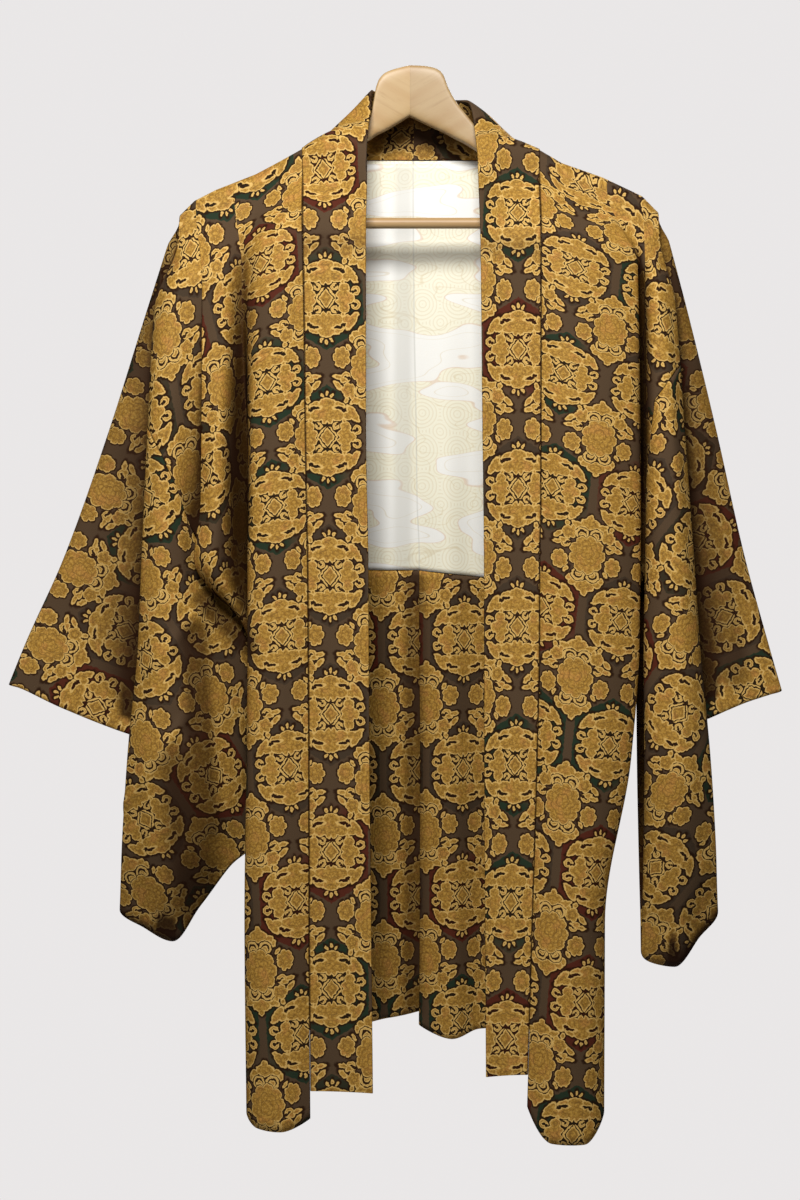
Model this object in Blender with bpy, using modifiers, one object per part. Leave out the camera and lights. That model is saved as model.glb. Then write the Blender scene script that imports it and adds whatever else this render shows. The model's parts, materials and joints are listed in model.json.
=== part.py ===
"""Haori jacket hanging open on a wooden hanger.

The jacket is a women's haori of patterned silk crepe: two body lengths that run from the front hem over the
shoulder to the back hem, two sleeves folded at the top, side gussets, a long collar band, and a pale back lining
above the outer cloth that is turned up inside the back. Each piece of cloth is a thin wall through horizontal
sections, and a section is a smooth curve through the folds of the cloth.

X runs to the wearer's left, Y to the back and Z up. The origin is the top of the hanger, at its middle. The
tables are in millimetres: "out" is a distance from the middle of the hanger to the side named, "y" is a depth
behind the ends of the hanger, and "drop" is a distance below the top of the hanger, or, for the cloth, below a
level CLOTH_LOW under it.
"""

import bmesh
import bpy
import numpy as np
from mathutils import Matrix

NAME = "Haori_On_Hanger"
MM = 0.001

# Cloth
CLOTH = 1.4              # wall of a single cloth
BAND_CLOTH = 2.4         # the collar band is folded double
BAND_SHORT = {"right": 25.0, "left": 29.0}  # the band's end hangs this far above the corner of the front
SEAM_GAP = 1.0           # between the edges of two cloths at a seam
BAND_GAP = 1.6           # between the body and the collar band, which is twice as thick
RING_GAP = 2.2           # between the shoulder line and the end of a sleeve that goes over it
LINING_INSIDE = (2.0, 3.2)  # from the middle of the back cloth to the lining's, at the neck and below
LINING_BOTTOM = 466.0    # drop at which the pale lining ends and the turned-up outer cloth begins
LINING_TOP = (4.0, 18.0)    # the lining starts this far under the neck seam, at the middle and at the corner
CLOTH_LOW = 3.3          # the drops of the cloth are counted from this far below the top of the wood

# Shoulders
SHOULDER_ROUND = 11.0    # radius of the cloth over the hanger arm
SHOULDER_FALL = 70.0     # drop in which the cloth leaves the arm for its own folds
TOP_FALL = 28.0          # drop in which the top fold of a sleeve leaves it
UNDERARM = 450.0         # drop of the end of the armhole seam
NECK_DROP = 79.0         # drop of the neck seam at the middle of the back
NECK_BACK = 46.0         # its depth
GUSSET_ROWS = 4          # rows of the body between the underarm and the point of a side gusset
BAG_ROUND = 75.0         # drop in which the two sides of a sleeve close to its bottom seam
UNDERARM_GAP = 9.0       # the sleeve starts this far under the end of the armhole seam
UPPER_ROWS = 10          # rows of cloth from the shoulder to the underarm
LOWER_SHARES = (0, 0.04, 0.09, 0.16, 0.25, 0.36, 0.48, 0.6, 0.73, 0.86, 1)  # its rows from there to the hem
SLEEVE_ROWS = (6, 12)    # rows above and below the armhole seam, past the hanger's end
SLEEVE_BACK_DEPTH = 0.8  # the back of a sleeve stands less far out than its front

# Hanger
MIDDLE_BACK = 20.0       # the middle of the hanger stands this far behind its ends
HALF_SPAN = 205.0
HALF_DEPTH = (7.0, 9.5)  # half of an arm's depth at the middle and at its end
BAR_RADIUS = 5.0
BAR_DROP = 145.8
BAR_DEPTH = 4.0
BAR_REACH = {"right": 154.0, "left": 170.0}

# Drops at which the folds of the body, of its side seams and of a sleeve are given
BODY_LEVELS = (120, 230, 330, 400, 450, 520, 630, 780, 970)
SIDE_LEVELS = (450, 520, 630, 780, 970)
SLEEVE_LEVELS = (145, 230, 330, 450, 530, 620, 790)

# Folds of a body front, from the band to the side. Columns: name, out at each level, y at each level, hem drop.
FRONT_FOLDS = {
    "right": (
        ("band seam", (98, 96, 95, 94, 93, 92.5, 92, 92, 91), (-36, -42, -46, -48, -50, -52, -54, -56, -58), 958),
        ("crest", (118, 118, 117, 117, 117, 117, 117, 117, 117), (-36, -48, -54, -57, -59, -61, -63, -66, -68), 968),
        ("brow", (134, 136, 137, 137, 138, 138, 140, 140, 139), (-32, -44, -51, -54, -56, -57, -58, -60, -62), 966),
        ("edge", (144, 145, 146, 146, 147, 147, 148, 150, 148.5), (-27, -34, -39, -41, -43, -44, -45, -46, -48), 952),
        ("recess", (152, 153, 150, 148, 146, 139, 134, 128, 124), (-24, -24, -14, -10, -10, -26, -27, -28, -30), 944),
        ("puff", (167, 168, 171, 172, 175, 149, 127, 127, 132), (-28, -38, -47, -52, -56, -19, -12, -12, -12), 940),
        ("puff edge", (184, 187, 188, 189, 195, 146, 118, 113, 118), (-28, -38, -42, -44, -46, -8, -2, -2, 0), 938),
    ),
    "left": (
        ("band seam", (118, 118, 118, 118, 117, 117, 115, 111, 106), (-36, -42, -46, -48, -50, -52, -54, -56, -58), 947),
        ("crest", (141, 142, 142, 142, 142, 142, 140, 136, 128), (-37, -49, -56, -59, -61, -63, -66, -68, -70), 978),
        ("brow", (170, 175, 177, 178, 178, 178, 173, 161, 158), (-33, -44, -52, -55, -57, -59, -62, -64, -66), 980),
        ("edge", (198, 204, 206, 207, 207, 207, 200, 177, 177), (-27, -33, -38, -40, -41, -42, -44, -46, -48), 954),
        ("recess", (205, 207, 208, 208, 207, 200, 190, 166, 160), (-25, -17, -13, -12, -12, -20, -24, -28, -30), 944),
        ("slit", (210, 210, 210.5, 210.5, 210, 195, 178, 160, 152), (-22, -10, -6, -6, -7, -14, -15, -16, -18), 940),
        ("slit edge", (213, 213, 213, 213, 214, 195, 170, 150, 142), (-24, -17, -12, -12, -9, -5, -4, -6, -8), 938),
    ),
}

# Folds of the back, from the middle seam to the side: the first four lie inside the neck corner.
BACK_FOLDS = {
    "right": (
        ("middle seam", (-3, -4, -6, -7, -9, -9, -10, -10, -9), (46, 50, 54, 57, 60, 66, 76, 94, 115), 899),
        ("inner ridge", (22, 22, 21, 21, 21, 21, 20, 20, 20), (46, 48, 50, 51, 53, 57, 64, 80, 100), 902),
        ("inner hollow", (52, 52, 52, 52, 52, 52, 53, 54, 55), (44, 50, 57, 61, 65, 71, 82, 100, 121), 914),
        ("neck ridge", (80, 80, 80, 80, 80, 81, 82, 84, 86), (40, 46, 51, 54, 57, 61, 71, 87, 107), 914),
        ("neck corner", (98, 98, 99, 100, 100, 101, 102, 104, 106), (34, 44, 51, 56, 60, 66, 78, 96, 115), 918),
        ("crest", (118, 119, 120, 120, 121, 122, 124, 126, 128), (30, 44, 54, 60, 64, 70, 82, 98, 118), 922),
        ("brow", (134, 136, 138, 139, 140, 141, 142, 143, 143), (26, 40, 50, 56, 60, 66, 76, 92, 111), 924),
        ("edge", (144, 148, 150, 151, 152, 152, 153, 152, 150), (23, 34, 42, 46, 49, 53, 62, 76, 95), 926),
        ("recess", (152, 155, 153, 151, 148, 140, 136, 132, 132), (20, 24, 18, 16, 18, 32, 44, 58, 77), 928),
        ("ridge", (167, 169, 171, 172, 172, 146, 128, 126, 132), (24, 32, 36, 38, 36, 27, 38, 52, 74), 930),
        ("ridge edge", (184, 186, 188, 189, 188, 142, 120, 116, 122), (24, 32, 34, 34, 30, 20, 32, 48, 70), 932),
    ),
    "left": (
        ("middle seam", (3, 4, 6, 7, 9, 9, 10, 10, 9), (46, 50, 54, 57, 60, 66, 76, 94, 115), 913),
        ("inner ridge", (30, 32, 34, 35, 36, 37, 38, 40, 42), (46, 47, 49, 50, 52, 56, 64, 80, 100), 924),
        ("inner hollow", (60, 61, 62, 62, 63, 64, 66, 67, 68), (44, 49, 55, 59, 62, 67, 77, 94, 114), 917),
        ("neck ridge", (92, 92, 92, 92, 93, 93, 94, 94, 95), (39, 46, 51, 54, 57, 61, 71, 87, 107), 914),
        ("neck corner", (118, 118, 118, 118, 118, 118, 118, 117, 116), (32, 44, 52, 57, 61, 67, 79, 97, 116), 918),
        ("crest", (141, 142, 142, 142, 142, 142, 142, 138, 134), (28, 44, 55, 61, 65, 71, 83, 99, 119), 922),
        ("brow", (170, 172, 172, 172, 172, 172, 168, 156, 150), (24, 38, 49, 55, 59, 65, 75, 91, 110), 924),
        ("edge", (198, 203, 204, 204, 204, 203, 194, 170, 160), (20, 30, 38, 42, 45, 50, 60, 76, 95), 926),
        ("recess", (205, 207, 208, 208, 206, 194, 178, 154, 146), (19, 17, 14, 13, 14, 30, 42, 58, 77), 928),
        ("ridge", (210, 210, 210.5, 210.5, 210, 191, 168, 146, 142), (18, 11, 7, 7, 8, 23, 36, 50, 70), 930),
        ("ridge edge", (213, 213, 213, 213, 214, 193, 160, 140, 138), (19, 16, 12, 12, 8.5, 17, 29, 44, 66), 932),
    ),
}

# Side seams under the arm. Columns: out at each side level, y at each side level.
FRONT_SEAM = {
    "right": ((182, 141, 113, 110, 117), (-24, 2, 14, 19, 27)),
    "left": ((222, 196, 158, 140, 134), (-10, 4, 12, 16, 16)),
}
BACK_SEAM = {
    "right": ((182, 141, 114, 112, 118), (19, 13, 25, 40, 60)),
    "left": ((222, 196, 158, 139, 134), (8, 13, 24, 38, 58)),
}

# Line of the shoulder from the neck corner to the end of the hanger. Columns: out, drop.
SHOULDER_LINE = {
    "right": ((98, 74), (119, 86), (141, 98), (178, 113), (197, 123), (210, 136)),
    "left": ((118, 75.5), (139, 88), (176, 101.5), (212, 119), (226, 133)),
}

# Folds of the cloth past the hanger's end, from the body to the top fold of the sleeve. The cloth hangs in a
# forward column (inner edge to edge), turns back behind it (tuck, inner fold) and lies flat out to the top fold.
# Columns: name, out at each level, y at each level, drop of the armhole seam (0 where the cloth starts at the
# end of the hanger), bottom drop.
SLEEVE_FOLDS = {
    "right": (
        ("inner edge", (188, 188, 188, 182, 148, 145, 145), (-30, -36, -33, -24, -8, -6, -4), 450, 717),
        ("hollow", (196, 199, 202, 198, 168, 165, 165), (-30, -40, -41, -34, -24, -26, -8), 420, 734),
        ("shoulder", (202, 208, 213, 208, 199, 193, 195), (-29, -42, -48, -47, -46, -46, -16), 382, 773),
        ("crest", (207, 218, 224, 224, 224, 226, 221), (-27, -42, -50, -54, -56, -58, -20), 354, 807),
        ("brow", (212, 227, 234, 239, 241, 249, 248), (-22, -36, -44, -46, -47, -48, -14), 335, 794),
        ("edge", (215, 232, 237, 243, 247, 256, 271), (-17, -28, -36, -38, -38, -38, -8), 329, 776),
        ("tuck", (211, 227, 231, 235, 238, 242, 239), (-12, -20, -27, -27, -27, -27, -4), 0, 742),
        ("inner fold", (206, 215, 217, 217, 217, 218, 217), (-9, -14, -20, -19, -17, -12, -5), 0, 625),
        ("return", (209, 228, 236, 246, 248, 245, 240), (-6, -8, -9, -9, -9, -7, -6), 0, 617),
        ("flat", (213, 236, 258, 284, 304, 325, 360), (-4, -6, -7, -7, -7, -6, -6), 0, 590),
        ("top brow", (215, 240, 271, 313, 349, 384, 440), (-2, -4, -4, -4, -4, -4, -4), 0, 569),
        ("top fold", (216, 243.7, 276, 319.5, 356, 392, 456), (0, 0, 0, 0, 0, 0, 0), 0, 566),
    ),
    "left": (
        ("inner edge", (216, 214, 214, 222, 228, 228, 228), (-25, -24, -22, -10, -7, -6, -4), 450, 720),
        ("hollow", (217, 215, 215, 214, 213, 214, 216), (-25, -31, -34, -34, -34, -34, -10), 372, 816),
        ("shoulder", (219, 219, 221, 222, 222, 223, 225), (-24, -40, -46, -50, -50, -50, -18), 306, 827),
        ("crest", (222, 227, 234, 240, 243, 246, 247), (-24, -41, -50, -55, -57, -58, -22), 290, 831),
        ("brow", (227, 236, 243, 252, 258, 265, 269), (-21, -34, -42, -46, -48, -48, -16), 279, 804),
        ("edge", (231, 241, 248, 257, 263, 272, 287), (-17, -27, -34, -36, -36, -36, -8), 273, 776),
        ("tuck", (226, 236, 242, 247, 252, 257, 250), (-12, -20, -26, -27, -27, -27, -4), 0, 745),
        ("inner fold", (221, 227, 231, 234, 236, 240, 240), (-9, -14, -18, -18, -17, -13, -5), 0, 614),
        ("return", (225, 237, 250, 262, 270, 278, 290), (-6, -8, -9, -9, -9, -7, -6), 0, 598),
        ("flat", (229, 247, 266, 287, 303, 322, 350), (-4, -6, -7, -7, -7, -6, -6), 0, 582),
        ("top brow", (232, 252, 275.5, 302, 325, 350, 395), (-2, -4, -4, -4, -4, -4, -4), 0, 575),
        ("top fold", (233, 256, 281, 309, 331.5, 358, 405), (0, 0, 0, 0, 0, 0, 0), 0, 573),
    ),
}

# Free edge of the collar band. Columns: station along the band (0 at the hem, 1 at the middle of the back),
# out, y, drop, rise of the band's middle above the straight line to the seam.
BAND_EDGE = {
    "right": (
        (0.00, 34, -58, 935, 2), (0.16, 35.5, -57, 780, 2), (0.31, 37, -55, 630, 2), (0.49, 38, -52, 450, 3),
        (0.61, 40, -48, 330, 3), (0.71, 40, -44, 230, 3), (0.79, 40, -37, 152, 3), (0.83, 39.5, -29, 112, 4),
        (0.86, 39.5, -19, 84, 7), (0.885, 38.5, -11, 61, 11), (0.91, 36, -2, 39, 14), (0.935, 34.5, 16, 20, 10),
        (0.965, 28, 38, 18, 3), (1.00, -4, 48, 22, 1),
    ),
    "left": (
        (0.00, 69, -58, 920, 2), (0.16, 68, -57, 775, 2), (0.31, 67, -55, 630, 2), (0.49, 66.5, -52, 450, 3),
        (0.61, 65, -48, 330, 3), (0.71, 64, -44, 230, 3), (0.79, 63, -37, 152, 3), (0.83, 62, -29, 112, 4),
        (0.86, 61, -19, 84, 8), (0.885, 59, -10, 62, 13), (0.91, 57, -1, 44, 17), (0.935, 53, 16, 30, 13),
        (0.965, 38, 37, 25, 3), (1.00, 4, 48, 22, 1),
    ),
}
BAND_STATIONS = (0, 0.08, 0.16, 0.24, 0.32, 0.40, 0.48, 0.56, 0.63, 0.69, 0.74, 0.785, 0.82, 0.845, 0.862,
                 0.871, 0.88, 0.889, 0.898, 0.912, 0.934, 0.955, 0.978, 1.0)

# Wooden arms, from the mitre at the middle. Columns: out, top drop, underside drop.
ARM_LINES = {
    "right": ((0.2, 0, 46), (11.5, 2.8, 53), (22.5, 7, 59.5), (28.5, 13, 62.5), (31.5, 21, 64), (35.5, 44, 67),
              (39, 54, 69), (60, 68, 82), (98, 92, 112), (139, 108, 131), (190, 130, 154), (202, 140, 158)),
    "left": ((0.2, 0, 46.5), (11, 0.6, 52), (22.5, 2.8, 57.5), (28, 6, 60), (31, 10, 61.5), (34.5, 19.5, 63.5),
             (41, 32, 67), (49.5, 43.3, 71.5), (60, 56, 78), (98, 88, 108), (139, 100, 125), (190, 118, 148),
             (214, 131, 155)),
}

# Fold positions of the columns of a body length, from the neck corner, and of the cloth past the hanger's end
BODY_PLACES = (0, 0.5, 1, 1.5, 2, 2.5, 3, 3.5, 4, 4.5, 5, 6)
COLUMN_PLACES = (0, 1, 1.5, 2, 2.5, 3, 3.5, 4, 4.5, 5)
SLEEVE_PLACES = COLUMN_PLACES + (5.4, 6, 6.5, 7, 7.5, 8, 9, 10, 11)
NECK_PLACES = (0, 0.5, 1, 2, 3, 3.5)

# Materials. Columns: colour, roughness.
FINISHES = {
    "patterned_crepe": ((0.30, 0.20, 0.09), 0.75),
    "pale_lining": ((0.80, 0.78, 0.70), 0.6),
    "plain_wood": ((0.72, 0.52, 0.32), 0.5),
}

SIGN = {"right": -1.0, "left": 1.0}


def clear_scene():
    for item in list(bpy.data.objects):
        bpy.data.objects.remove(item)


def material(name):
    """The Principled material of one finish, made the first time that it is asked for."""
    found = bpy.data.materials.get(name)
    if found:
        return found
    colour, roughness = FINISHES[name]
    made = bpy.data.materials.new(name)
    made.use_nodes = True
    shader = made.node_tree.nodes["Principled BSDF"]
    shader.inputs["Base Color"].default_value = (*colour, 1.0)
    shader.inputs["Roughness"].default_value = roughness
    made.diffuse_color = (*colour, 1.0)
    return made


def steady(knots, values, at):
    """Read a curve through values at rising knots that never overshoots them; it is level past its ends.

    values may have a row for each knot; the result then has a row for each position.
    """
    knots = np.asarray(knots, float)
    values = np.asarray(values, float)
    at = np.clip(np.asarray(at, float), knots[0], knots[-1])
    shape = (-1,) + (1,) * (values.ndim - 1)
    rise = np.diff(values, axis=0) / np.diff(knots).reshape(shape)
    product = rise[:-1] * rise[1:]
    total = np.where(product > 0, rise[:-1] + rise[1:], 1.0)
    slopes = np.concatenate([rise[:1], np.where(product > 0, 2 * product / total, 0.0), rise[-1:]])
    cell = np.clip(np.searchsorted(knots, at, side="right") - 1, 0, len(knots) - 2)
    span = (knots[cell + 1] - knots[cell]).reshape(at.shape + shape[1:])
    f = (at - knots[cell]).reshape(span.shape) / span
    start = values[cell] * (1 + 2 * f) * (1 - f) ** 2 + slopes[cell] * span * f * (1 - f) ** 2
    return start + values[cell + 1] * f**2 * (3 - 2 * f) - slopes[cell + 1] * span * f**2 * (1 - f)


def across(rows, place):
    """Read smooth curves through the folds in rows: place 0 is the first fold, 1 the second, 0.5 half way.

    rows has a line for each point and a column for each fold; place has a number for each point.
    """
    last = rows.shape[1] - 1
    cell = np.clip(np.floor(place).astype(int), 0, last - 1)
    f = place - cell
    line = np.arange(len(rows))
    before = rows[line, np.maximum(cell - 1, 0)]
    first = rows[line, cell]
    second = rows[line, cell + 1]
    after = rows[line, np.minimum(cell + 2, last)]
    start = first * (1 + 2 * f) * (1 - f) ** 2 + (second - before) / 2 * f * (1 - f) ** 2
    return start + second * f**2 * (3 - 2 * f) - (after - first) / 2 * f**2 * (1 - f)


def eased(f):
    f = np.clip(f, 0.0, 1.0)
    return f * f * (3 - 2 * f)


def fold_table(folds, levels, depth=1.0):
    """The levels, out and y of a list of folds; out and y have a row for each level and a column for each fold."""
    out = np.array([fold[1] for fold in folds], float).T
    y = np.array([fold[2] for fold in folds], float).T
    return np.asarray(levels, float), out, y * depth


def on_folds(table, place, drop):
    """out and y at fold positions and drops, which are arrays of one shape."""
    levels, out, y = table
    shape = drop.shape
    place = np.broadcast_to(place, shape).ravel()
    drop = drop.ravel()
    found_out = across(steady(levels, out, drop), place)
    found_y = across(steady(levels, y, drop), place)
    return found_out.reshape(shape), found_y.reshape(shape)


def placed(side, out, y, drop, low=CLOTH_LOW):
    """World points in millimetres from out, y and drop on one side."""
    return np.stack([SIGN[side] * out, y - MIDDLE_BACK, -drop - low], axis=-1)


def new_object(name, finish, points, faces):
    """A mesh object in the jacket's collection; points are in millimetres."""
    mesh = bpy.data.meshes.new(name)
    mesh.from_pydata((np.asarray(points, float) * MM).tolist(), [], [list(map(int, face)) for face in faces])
    mesh.materials.append(material(finish))
    mesh.shade_smooth()
    made = bpy.data.objects.new(name, mesh)
    bpy.data.collections[NAME].objects.link(made)
    return made


def cloth_object(name, finish, points, keep=None, wall=CLOTH, flip=False):
    """A wall of cloth on a grid of points, with Solidify; keep says which cells of the grid are cloth."""
    rows, columns = points.shape[:2]
    keep = np.ones((rows - 1, columns - 1), bool) if keep is None else keep
    index = np.arange(rows * columns).reshape(rows, columns)
    cells = np.stack([index[:-1, :-1], index[:-1, 1:], index[1:, 1:], index[1:, :-1]], axis=-1)[keep]
    made = new_object(name, finish, points.reshape(-1, 3), cells[:, ::-1] if flip else cells)
    sheet = bmesh.new()
    sheet.from_mesh(made.data)
    bmesh.ops.delete(sheet, geom=[v for v in sheet.verts if not v.link_faces], context="VERTS")
    bmesh.ops.triangulate(sheet, faces=sheet.faces[:], quad_method="SHORT_EDGE")
    sheet.to_mesh(made.data)
    sheet.free()
    thick = made.modifiers.new("Cloth", "SOLIDIFY")
    thick.thickness = wall * MM
    thick.offset = 0.0
    return made


def fold_ends(side):
    """The top and bottom drops of the folds past the hanger's end."""
    folds = SLEEVE_FOLDS[side]
    return np.array([fold[3] for fold in folds], float), np.array([fold[4] for fold in folds], float)


def seam_gap(side, places):
    """How far above and below the armhole seam the two cloths stop, so that the slanted edges stand clear."""
    table = fold_table(SLEEVE_FOLDS[side][:6], SLEEVE_LEVELS)
    order = np.arange(6)
    tops = fold_ends(side)[0][:6]
    out, y = on_folds(table, order, tops)
    slope = np.abs(np.diff(tops)) / np.hypot(np.diff(out), np.diff(y))
    steepest = np.maximum(np.concatenate([slope[:1], slope]), np.concatenate([slope, slope[-1:]]))
    return SEAM_GAP / 2 * np.hypot(1.0, np.interp(places, order, steepest))


def column_table(side, back):
    """The folds past the hanger's end; the back is the front turned over, standing less far out."""
    return fold_table(SLEEVE_FOLDS[side], SLEEVE_LEVELS, -SLEEVE_BACK_DEPTH if back else 1.0)


def arm_depth(out):
    """y of the middle of the hanger's arm, which curves back towards its middle."""
    return MIDDLE_BACK * np.maximum(1 - out / HALF_SPAN, 0.0)


def shoulder_points(side, share):
    """out, drop and arm depth at shares of the way from the neck corner to the hanger's end."""
    line = np.array(SHOULDER_LINE[side], float)
    reach = np.concatenate([[0.0], np.cumsum(np.hypot(*np.diff(line, axis=0).T))])
    out = np.interp(share * reach[-1], reach, line[:, 0])
    return out, np.interp(share * reach[-1], reach, line[:, 1]), arm_depth(out)


def ring(side, back, places):
    """out, y and drop of the cloth's end over the hanger, as a quarter round from the edge to the top fold."""
    line_out, line_drop, line_y = shoulder_points(side, np.ones(1))
    turn = np.pi / 2 * np.clip(places - 5.0, 0.0, 6.0) / 6.0
    y = line_y + (1 if back else -1) * SHOULDER_ROUND * np.cos(turn)
    return line_out[0] + RING_GAP + 0 * turn, y, line_drop[0] + SHOULDER_ROUND * (1 - np.sin(turn))


def sleeve(side):
    """One sleeve: a cloth folded at the top, from the front inner edge out to the fold and back to the inner edge."""
    tops, bottoms = fold_ends(side)
    order = np.arange(len(tops))
    places = np.array(SLEEVE_PLACES, float)
    column = places <= 5
    ring_top = ring(side, False, places)[2]
    top = np.where(column, tops[5], ring_top)
    seam = np.where(column, np.interp(places, order, tops) + seam_gap(side, np.minimum(places, 5)), tops[5])
    seam[0] += UNDERARM_GAP
    bottom = steady(order, bottoms, places)
    above, below = SLEEVE_ROWS
    upper = top + np.linspace(0.0, 1.0, above + 1)[:, None] * (seam - top)
    lower = seam + np.linspace(0.0, 1.0, below + 1)[1:, None] * (bottom - seam)
    drop = np.vstack([upper, lower])
    # The two sides close to the bottom seam, and stay apart along the cuff.
    closing = np.clip((drop - bottom + BAG_ROUND) / BAG_ROUND, 0.0, 1.0) ** 2 * np.clip(13.0 - 2 * places, 0.0, 1.0)
    halves = []
    for back in (False, True):
        out, y = on_folds(column_table(side, back), places, drop)
        start_out, start_y, _ = ring(side, back, places)
        fall = SHOULDER_FALL - (SHOULDER_FALL - TOP_FALL) * np.clip(places - 5.0, 0.0, 6.0) / 6.0
        leaving = np.where(column, 1.0, eased((drop - ring_top) / fall))
        out = start_out + (out - start_out) * leaving
        y = start_y + (y - start_y) * leaving
        rest = 1.7 if back else -1.7
        halves.append(placed(side, out, y + (rest - y) * closing, drop))
    whole = np.concatenate([halves[0], halves[1][:, -2::-1]], axis=1)
    keep = np.ones((whole.shape[0] - 1, whole.shape[1] - 1), bool)
    keep[:above, : column.sum()] = False
    keep[:above, -column.sum() :] = False
    return cloth_object(f"sleeve_{side}", "patterned_crepe", whole, keep, flip=side == "left")


def body_half(side, back):
    """out, y and drop of half a body length, from the shoulder down: rows of points over its folds.

    The columns run from the neck corner over the folds, then over the column that the cloth forms past the
    hanger's end. The last rows of the upper part lie on the armhole seam; under it only the side seam goes on.
    """
    folds = BACK_FOLDS[side][4:] if back else FRONT_FOLDS[side]
    table = fold_table(folds, BODY_LEVELS)
    seam = (BACK_SEAM if back else FRONT_SEAM)[side]
    places = np.array(BODY_PLACES, float)
    column = np.array(COLUMN_PLACES, float)
    share = np.concatenate([places / 6 * 0.82, [0.84], 0.86 + 0.14 * column / 5])
    line_out, line_drop, line_y = shoulder_points(side, share)
    start_y = line_y + (SHOULDER_ROUND if back else -SHOULDER_ROUND)
    start = line_drop + SHOULDER_ROUND
    armhole = np.interp(column, np.arange(6), fold_ends(side)[0][:6]) - seam_gap(side, column)
    armhole[0] = UNDERARM
    end = np.concatenate([360 + 90 * places / 6, [UNDERARM], armhole])

    def folded(drop):
        body_out, body_y = on_folds(table, places, drop[:, : len(places)])
        side_out, side_y = on_folds(column_table(side, back), column, drop[:, len(places) + 1 :])
        middle_out = (body_out[:, -1:] + side_out[:, :1]) / 2
        middle_y = (body_y[:, -1:] + side_y[:, :1]) / 2
        return np.hstack([body_out, middle_out, side_out]), np.hstack([body_y, middle_y, side_y])

    upper = start + np.linspace(0.0, 1.0, UPPER_ROWS + 1)[:, None] * (end - start)
    out, y = folded(upper)
    leaving = eased((upper - start) / SHOULDER_FALL)
    upper_out = line_out + (out - line_out) * leaving
    upper_y = start_y + (y - start_y) * leaving
    hems = np.array([fold[3] for fold in folds], float)
    hem = steady(np.arange(len(folds)), hems, places)
    hem = np.concatenate([hem, np.full(len(share) - len(places), hems[-1])])
    lower = end + np.array(LOWER_SHARES[1:])[:, None] * (hem - end)
    out, y = folded(lower)
    first = len(places) + 1
    out[:, first] = steady(SIDE_LEVELS, seam[0], lower[:, first])
    y[:, first] = steady(SIDE_LEVELS, seam[1], lower[:, first])
    out[:, first - 1] = (out[:, first - 2] + out[:, first]) / 2
    y[:, first - 1] = (y[:, first - 2] + y[:, first]) / 2
    rows = np.vstack([upper_out, out]), np.vstack([upper_y, y]), np.vstack([upper, lower])
    return rows, (line_out, line_y, start)


def neck_part(side, corner_drop):
    """out, y and drop of the back between the middle seam and the neck corner, on rows that end at these drops."""
    folds = BACK_FOLDS[side][:5]
    places = np.array(NECK_PLACES, float)
    weight = places / 4
    hem = steady(np.arange(5), [fold[3] for fold in folds], places)
    share = ((corner_drop - corner_drop[0]) / (corner_drop[-1] - corner_drop[0]))[:, None]
    drop = NECK_DROP + share * (hem - NECK_DROP)
    drop = drop + (corner_drop[:, None] - drop) * weight**3
    out, y = on_folds(fold_table(folds, BODY_LEVELS), places, drop)
    out[:, 0] += SEAM_GAP if side == "left" else 0.0
    corner_y = shoulder_points(side, np.zeros(1))[2][0] + SHOULDER_ROUND
    neck_y = NECK_BACK + (corner_y - NECK_BACK) * weight**2
    leaving = eased((drop - drop[0]) / SHOULDER_FALL)
    return out, neck_y + (y - neck_y) * leaving, drop


def body_points(side):
    """Points of a body length from the front hem over the shoulder to the back hem, and which cells are cloth."""
    front, (line_out, line_y, start) = body_half(side, back=False)
    rear, _ = body_half(side, back=True)
    over = np.radians((45.0, 90.0, 135.0))[:, None]
    arch = (
        line_out + 0 * over,
        line_y - SHOULDER_ROUND * np.cos(over),
        start - SHOULDER_ROUND * np.sin(over),
    )
    whole = [np.vstack([a[::-1], b, c]) for a, b, c in zip(front, arch, rear)]
    rows_before = len(front[0]) + len(over)
    neck = neck_part(side, rear[2][:, 0])
    blank = np.zeros((rows_before, len(NECK_PLACES)))
    whole = [np.hstack([np.vstack([blank, a]), b]) for a, b in zip(neck, whole)]
    points = placed(side, *whole)
    keep = np.ones((points.shape[0] - 1, points.shape[1] - 1), bool)
    keep[:rows_before, : len(NECK_PLACES)] = False
    last = len(NECK_PLACES) + len(BODY_PLACES) + 1
    keep[: len(LOWER_SHARES) - 1, last:] = False
    keep[1 - len(LOWER_SHARES) :, last:] = False
    return points, keep, rows_before


def band_seam_line(side):
    """The body's edge that the collar band is sewn to, from the front hem to the middle of the back."""
    points, _, rows_before = body_points(side)
    inner = len(NECK_PLACES)
    up = points[: rows_before + 1, inner]
    around = points[rows_before, :inner][::-1]
    return np.concatenate([up, around])


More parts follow.
